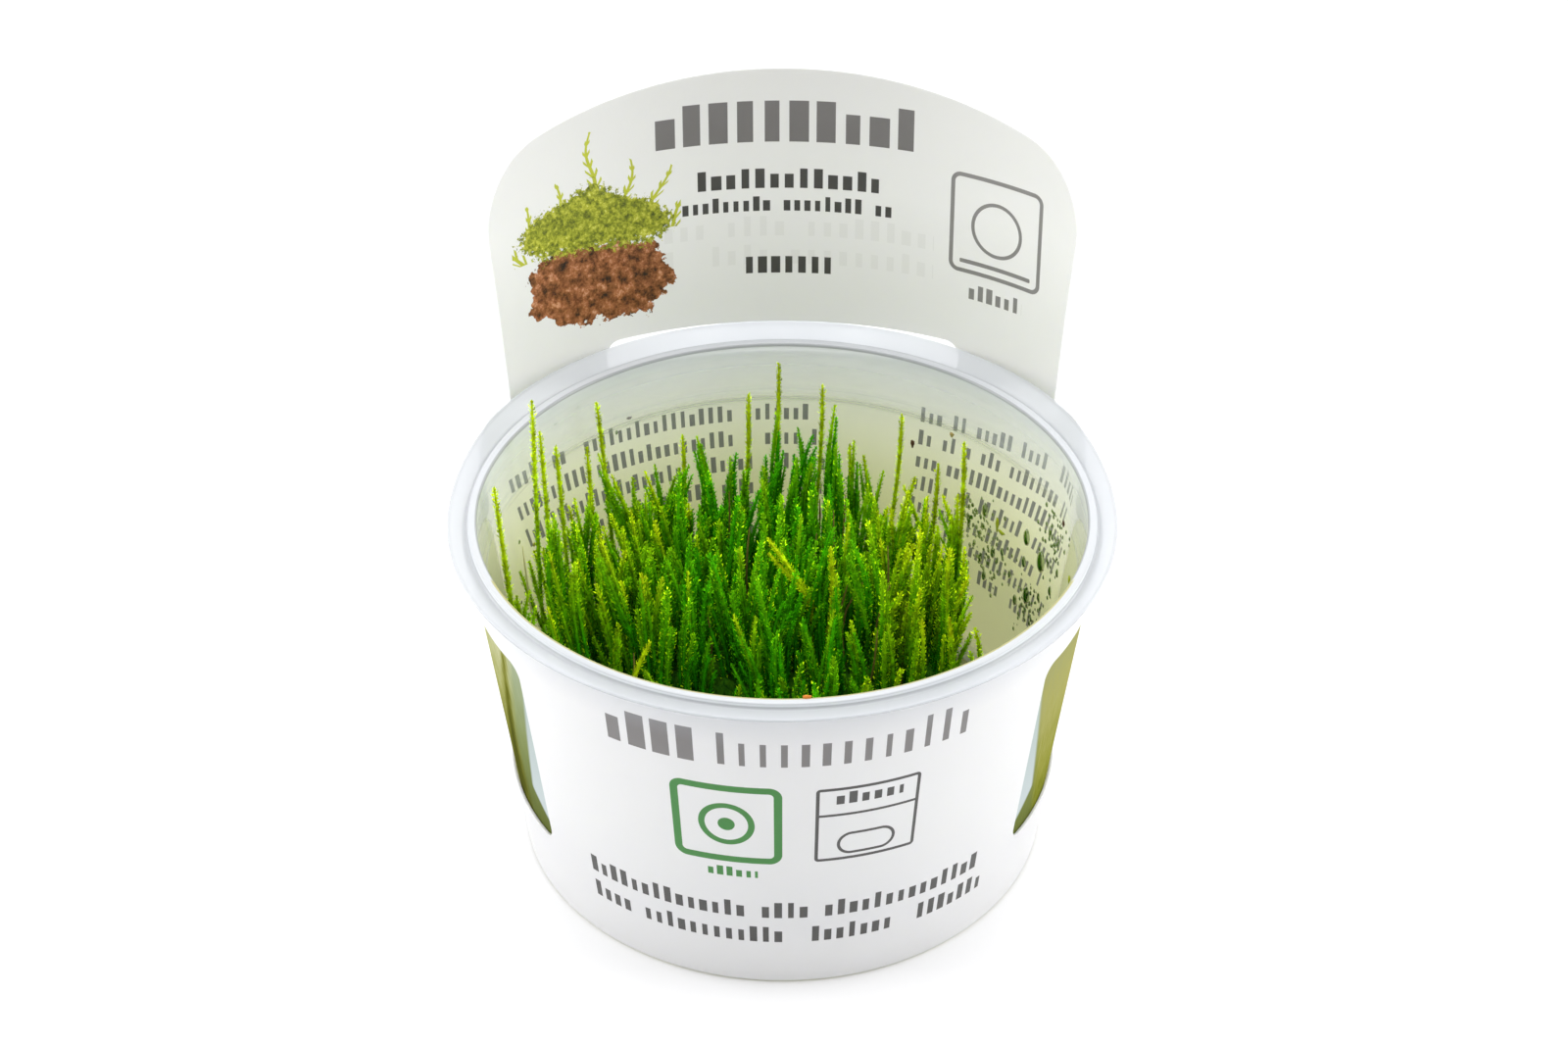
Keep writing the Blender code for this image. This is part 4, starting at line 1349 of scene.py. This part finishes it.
class JAVAMOSS_OT_bare_stems(bpy.types.Operator):
    """Adds old bare stems among the shoots, and one dry pale stem against the left wall"""
    bl_idname = "java_moss.bare_stems"
    bl_label = "Bare stems"

    def execute(self, context):
        settings = context.scene.java_moss_moss
        rng = np.random.default_rng(settings.seed + 3)
        count = settings.stems
        turn = rng.uniform(-0.2, math.pi + 0.2, count)
        out = rng.uniform(0.35, 0.98, count)
        tips = np.stack([29.0 * out * np.cos(turn), 34.0 * out * np.sin(turn),
                         rng.uniform(30.0, 44.0, count)], axis=-1)
        feet = tips * [0.90, 0.95, 0.0] + [0.0, 0.0, 9.0]
        feet[:, :2] += rng.normal(0.0, 1.5, (count, 2))
        bows = rng.normal(0.0, 1.0, (count, 3)) * [1.2, 0.8, 0.0]
        tips = np.concatenate([tips, [(-40.8, 10.0, 43.2)]])
        feet = np.concatenate([feet, [(-37.0, 9.0, 8.5)]])
        bows = np.concatenate([bows, [(-0.8, 0.0, 0.0)]])
        tones = np.full(count + 1, -1.0)
        tones[-1] = -2.0
        mesh = shoot_mesh("bare_stems", feet, tips, bows, np.full(count + 1, 0.65), tones,
                          np.zeros(count + 1), settings, rng, 0, 20.0)
        add_piece(mesh, moss_material(settings, "moss_stems"))
        return {"FINISHED"}


# Drops and crumbs on the wall

# Where a drop is on the inner wall, in degrees round from the front and millimetres up, then half
# its width. Large drops are at the right, and specks are at the left.
LARGE_DROPS = [
    (131.3, 36.6, 1.0), (117.4, 37.4, 1.15), (110.6, 36.1, 1.55), (113.8, 27.8, 1.3),
    (116.9, 32.9, 0.8), (117.7, 25.0, 0.8), (128.9, 24.8, 0.75), (130.8, 27.6, 0.7),
    (133.0, 29.7, 0.5), (127.3, 29.9, 0.75), (124.5, 31.3, 0.6), (104.6, 33.6, 0.7),
    (102.9, 38.0, 0.6), (121.0, 28.5, 0.6), (135.5, 33.5, 0.6), (109.0, 30.0, 0.6),
]
SPECKS = [
    (-134.6, 54.6, 0.35), (-128.1, 54.0, 0.3), (-143.2, 47.1, 0.4), (-122.3, 40.2, 0.4),
    (-110.4, 40.0, 0.4), (-122.0, 33.8, 0.35), (-106.4, 30.4, 0.35), (-149.6, 54.6, 0.3),
]
# Patches of small drops: the middle's degrees and height, then half the degrees and the height.
PATCHES = [
    (128.0, 28.5, 6.5, 5.5), (111.5, 26.0, 6.5, 4.5), (107.0, 41.0, 6.0, 6.0),
    (134.0, 34.0, 5.0, 4.0),
]
# Each crumb's degrees round, height, millimetres inwards, half width, half height and tint.
CRUMBS = [
    (151.3, 42.9, 0.1, 0.35, 0.8, 0.0), (142.3, 47.0, 0.1, 0.4, 0.5, 0.33),
    (127.2, 35.5, 0.1, 0.35, 1.5, 0.66), (125.6, 34.6, 0.1, 0.8, 0.4, 0.66),
    (-146.5, 48.9, 0.1, 0.5, 0.25, 0.0), (104.5, 46.6, 0.1, 0.35, 0.6, 0.0),
    (-115.5, 37.0, 0.1, 0.3, 0.4, 0.5), (4.2, 58.55, 0.95, 0.6, 0.45, 1.0),
    (95.6, 41.0, 0.1, 0.35, 0.7, 0.66),
]


def wall_beads(turn, height, inwards, across, up, out):
    """Small bodies on the inner wall, as points. Turn, height and inwards place each of them, and
    across, up and out are grids of millimetres from there, the last towards the cup's middle."""
    angle = np.radians(turn)
    place = round_place(inner_wall(height) - inwards, angle, height)[:, None, None]
    side = round_place(1.0, angle + 0.5 * math.pi, 0.0)[:, None, None]
    inward = round_place(-1.0, angle, 0.0)[:, None, None]
    points = place + side * across[..., None] + inward * out[..., None]
    points[..., 2] += up
    return points.reshape(-1, 3)


def bead_faces(count, rows, columns):
    """The faces of that many equal grids of points, each closed round."""
    starts = np.arange(count)[:, None, None] * (rows * columns)
    return (starts + grid_faces(rows, columns, True)).reshape(-1, 4)


class JAVAMOSS_OT_drops(bpy.types.Operator):
    """Sets condensation drops on the inner wall, each a low dome a little taller than wide"""
    bl_idname = "java_moss.drops"
    bl_label = "Condensation"

    def execute(self, context):
        count = context.scene.java_moss_cup.drops
        rng = np.random.default_rng(21)
        patches = np.array(PATCHES)[rng.integers(0, len(PATCHES), count)]
        place = patches[:, :2] + rng.normal(0.0, 0.55, (count, 2)) * patches[:, 2:]
        place[:, 1] = np.clip(place[:, 1], 16.0, 46.0)
        small = np.column_stack([place, rng.uniform(0.16, 0.46, count)])
        turn, height, size = np.concatenate([LARGE_DROPS, SPECKS, small]).T
        rows, columns = 6, 12
        slope = np.linspace(0.0, 0.5 * math.pi, rows)[:, None]
        around = np.linspace(0.0, math.tau, columns, endpoint=False)
        tall = size * np.where(size > 0.5, 1.45, 1.1)
        wide = size[:, None, None]
        points = wall_beads(turn, height, 0.02, np.cos(slope) * np.cos(around) * 0.72 * wide,
                            np.cos(slope) * np.sin(around) * tall[:, None, None],
                            np.sin(slope) * np.ones(columns) * 0.45 * wide)
        mesh = new_mesh("condensation", points * MM, bead_faces(len(size), rows, columns))
        look, _ = new_material("water", Base_Color=(0.24, 0.34, 0.16), Roughness=0.02, IOR=1.33,
                               Transmission_Weight=1.0)
        add_piece(mesh, look)
        return {"FINISHED"}


class JAVAMOSS_OT_crumbs(bpy.types.Operator):
    """Sticks brown, tan, green and orange crumbs of plant to the inner wall, as small flat beads"""
    bl_idname = "java_moss.crumbs"
    bl_label = "Crumbs"

    def execute(self, context):
        turn, height, inwards, half_width, half_height, tint = np.array(CRUMBS).T
        rows, columns = 7, 10
        slope = np.linspace(-0.5 * math.pi, 0.5 * math.pi, rows)[:, None]
        around = np.linspace(0.0, math.tau, columns, endpoint=False)
        wobble = np.cos(slope) * (1.0 + 0.25 * np.sin(3.0 * around + 2.0 * slope))
        points = wall_beads(turn, height, inwards,
                            half_width[:, None, None] * wobble * np.cos(around),
                            half_height[:, None, None] * wobble * np.sin(around),
                            0.18 * np.sin(slope) * np.ones((len(turn), 1, columns)))
        mesh = new_mesh("crumbs", points * MM, bead_faces(len(turn), rows, columns))
        put_values(mesh, "tint", np.repeat(tint, rows * columns))
        weld(mesh, 1e-6)
        look, n = new_material("crumbs", Roughness=0.7)
        color = n.ramp(n.value("tint"), [(0.0, (0.09, 0.035, 0.012)), (0.33, (0.48, 0.36, 0.13)),
                                         (0.66, (0.45, 0.52, 0.02)), (1.0, (0.80, 0.26, 0.03))])
        n.give(n.shader, Base_Color=color)
        add_piece(mesh, look)
        return {"FINISHED"}


# Stage

# The photo's camera, fitted to the outlines of the cup and the sleeve.
CAMERA_PLACE = (0.24 * MM, -313.28 * MM, 278.5 * MM)


def add_floor(color):
    """A round floor just below the part, with a faint grain."""
    angles = np.linspace(0.0, math.tau, 96, endpoint=False)
    rings = np.array([0.0, 0.05, 0.2, 1.0, 3.0])[:, None]
    points = round_place(rings, angles, -0.05 * MM).reshape(-1, 3)
    mesh = new_mesh("floor", points, grid_faces(len(rings), len(angles), True))
    weld(mesh)
    look, n = new_material("floor", Base_Color=color, Roughness=0.8)
    n.give(n.shader, Normal=n.bump(n.noise(n.object_place(), 900.0), 0.00005, 0.1))
    mesh.materials.append(look)
    floor = new_object("floor", mesh)


def add_surroundings(scene, sky, behind):
    """White surroundings, as bright as sky + behind times the view's share of +Y."""
    scene.world = bpy.data.worlds.new("surroundings")
    scene.world.use_nodes = True
    n = Nodes(scene.world.node_tree)
    way = n.parts(n.output(n.add("ShaderNodeTexCoord"), "Generated"))
    n.give(n.tree.nodes["Background"], Color=(1.0, 1.0, 1.0), Strength=way[1] * behind + sky)


def add_light(name, place, size, power):
    """A square lamp that looks at the middle of the cup."""
    lamp = bpy.data.lights.new(name, "AREA")
    lamp.energy = power
    lamp.size = size
    holder = new_object(name, lamp)
    holder.location = place
    x, y, z = np.array([0.0, 0.0, 40.0 * MM]) - place
    holder.rotation_euler = (math.atan2(math.hypot(x, y), -z), 0.0, math.atan2(-x, y))


class JAVAMOSS_OT_stage(bpy.types.Operator):
    """Lays the pale floor and sets the soft lights, the white surroundings and the camera"""
    bl_idname = "java_moss.stage"
    bl_label = "Stage"

    def execute(self, context):
        settings = context.scene.java_moss_stage
        scene = context.scene
        add_floor(settings.floor)
        add_surroundings(scene, settings.sky, settings.behind)
        add_light("left_light", (-0.55, 0.04, 0.30), 0.45, settings.key)
        add_light("right_light", (0.55, 0.04, 0.30), 0.45, settings.key)
        add_light("top_light", (0.0, 0.02, 0.70), 0.50, settings.top)
        camera = bpy.data.cameras.new("camera")
        camera.sensor_width = 36.0
        camera.lens = settings.lens
        camera.clip_start = 0.01
        camera.clip_end = 20.0
        scene.camera = new_object("camera", camera)
        scene.camera.location = CAMERA_PLACE
        scene.camera.rotation_euler = (math.pi / 2 - settings.pitch, 0.0, 0.0)
        scene.view_settings.view_transform = "Standard"
        return {"FINISHED"}


# Panel

OPERATORS = [
    JAVAMOSS_OT_cup, JAVAMOSS_OT_film, JAVAMOSS_OT_sleeve, JAVAMOSS_OT_gel, JAVAMOSS_OT_mat,
    JAVAMOSS_OT_stand, JAVAMOSS_OT_tall_shoots, JAVAMOSS_OT_sprigs, JAVAMOSS_OT_bare_stems,
    JAVAMOSS_OT_drops, JAVAMOSS_OT_crumbs, JAVAMOSS_OT_stage,
]
SETTINGS = {"java_moss_cup": CupSettings, "java_moss_sleeve": SleeveSettings,
            "java_moss_moss": MossSettings, "java_moss_stage": StageSettings}


class JAVAMOSS_PT_panel(bpy.types.Panel):
    """Lists the pieces and their sizes and colours"""
    bl_label = "Java Moss"
    bl_idname = "JAVAMOSS_PT_panel"
    bl_space_type = "VIEW_3D"
    bl_region_type = "UI"
    bl_category = "Java Moss"

    def draw(self, context):
        for name, group in SETTINGS.items():
            box = self.layout.box()
            for key in group.__annotations__:
                box.prop(getattr(context.scene, name), key)
        for operator in OPERATORS:
            self.layout.operator(operator.bl_idname)


def register():
    for group in SETTINGS.values():
        bpy.utils.register_class(group)
    for operator in OPERATORS:
        bpy.utils.register_class(operator)
    bpy.utils.register_class(JAVAMOSS_PT_panel)
    for name, group in SETTINGS.items():
        setattr(bpy.types.Scene, name, bpy.props.PointerProperty(type=group))


def unregister():
    for name in SETTINGS:
        delattr(bpy.types.Scene, name)
    bpy.utils.unregister_class(JAVAMOSS_PT_panel)
    for operator in reversed(OPERATORS):
        bpy.utils.unregister_class(operator)
    for group in reversed(list(SETTINGS.values())):
        bpy.utils.unregister_class(group)


def main():
    for thing in list(bpy.data.objects):
        if thing.name in ("Cube", "Light", "Camera"):
            bpy.data.objects.remove(thing, do_unlink=True)
    register()
    bpy.ops.java_moss.cup()
    bpy.ops.java_moss.film()
    bpy.ops.java_moss.sleeve()
    bpy.ops.java_moss.gel()
    bpy.ops.java_moss.mat()
    bpy.ops.java_moss.stand()
    bpy.ops.java_moss.tall_shoots()
    bpy.ops.java_moss.sprigs()
    bpy.ops.java_moss.bare_stems()
    bpy.ops.java_moss.drops()
    bpy.ops.java_moss.crumbs()
    bpy.ops.java_moss.stage()


if __name__ == "__main__":
    main()
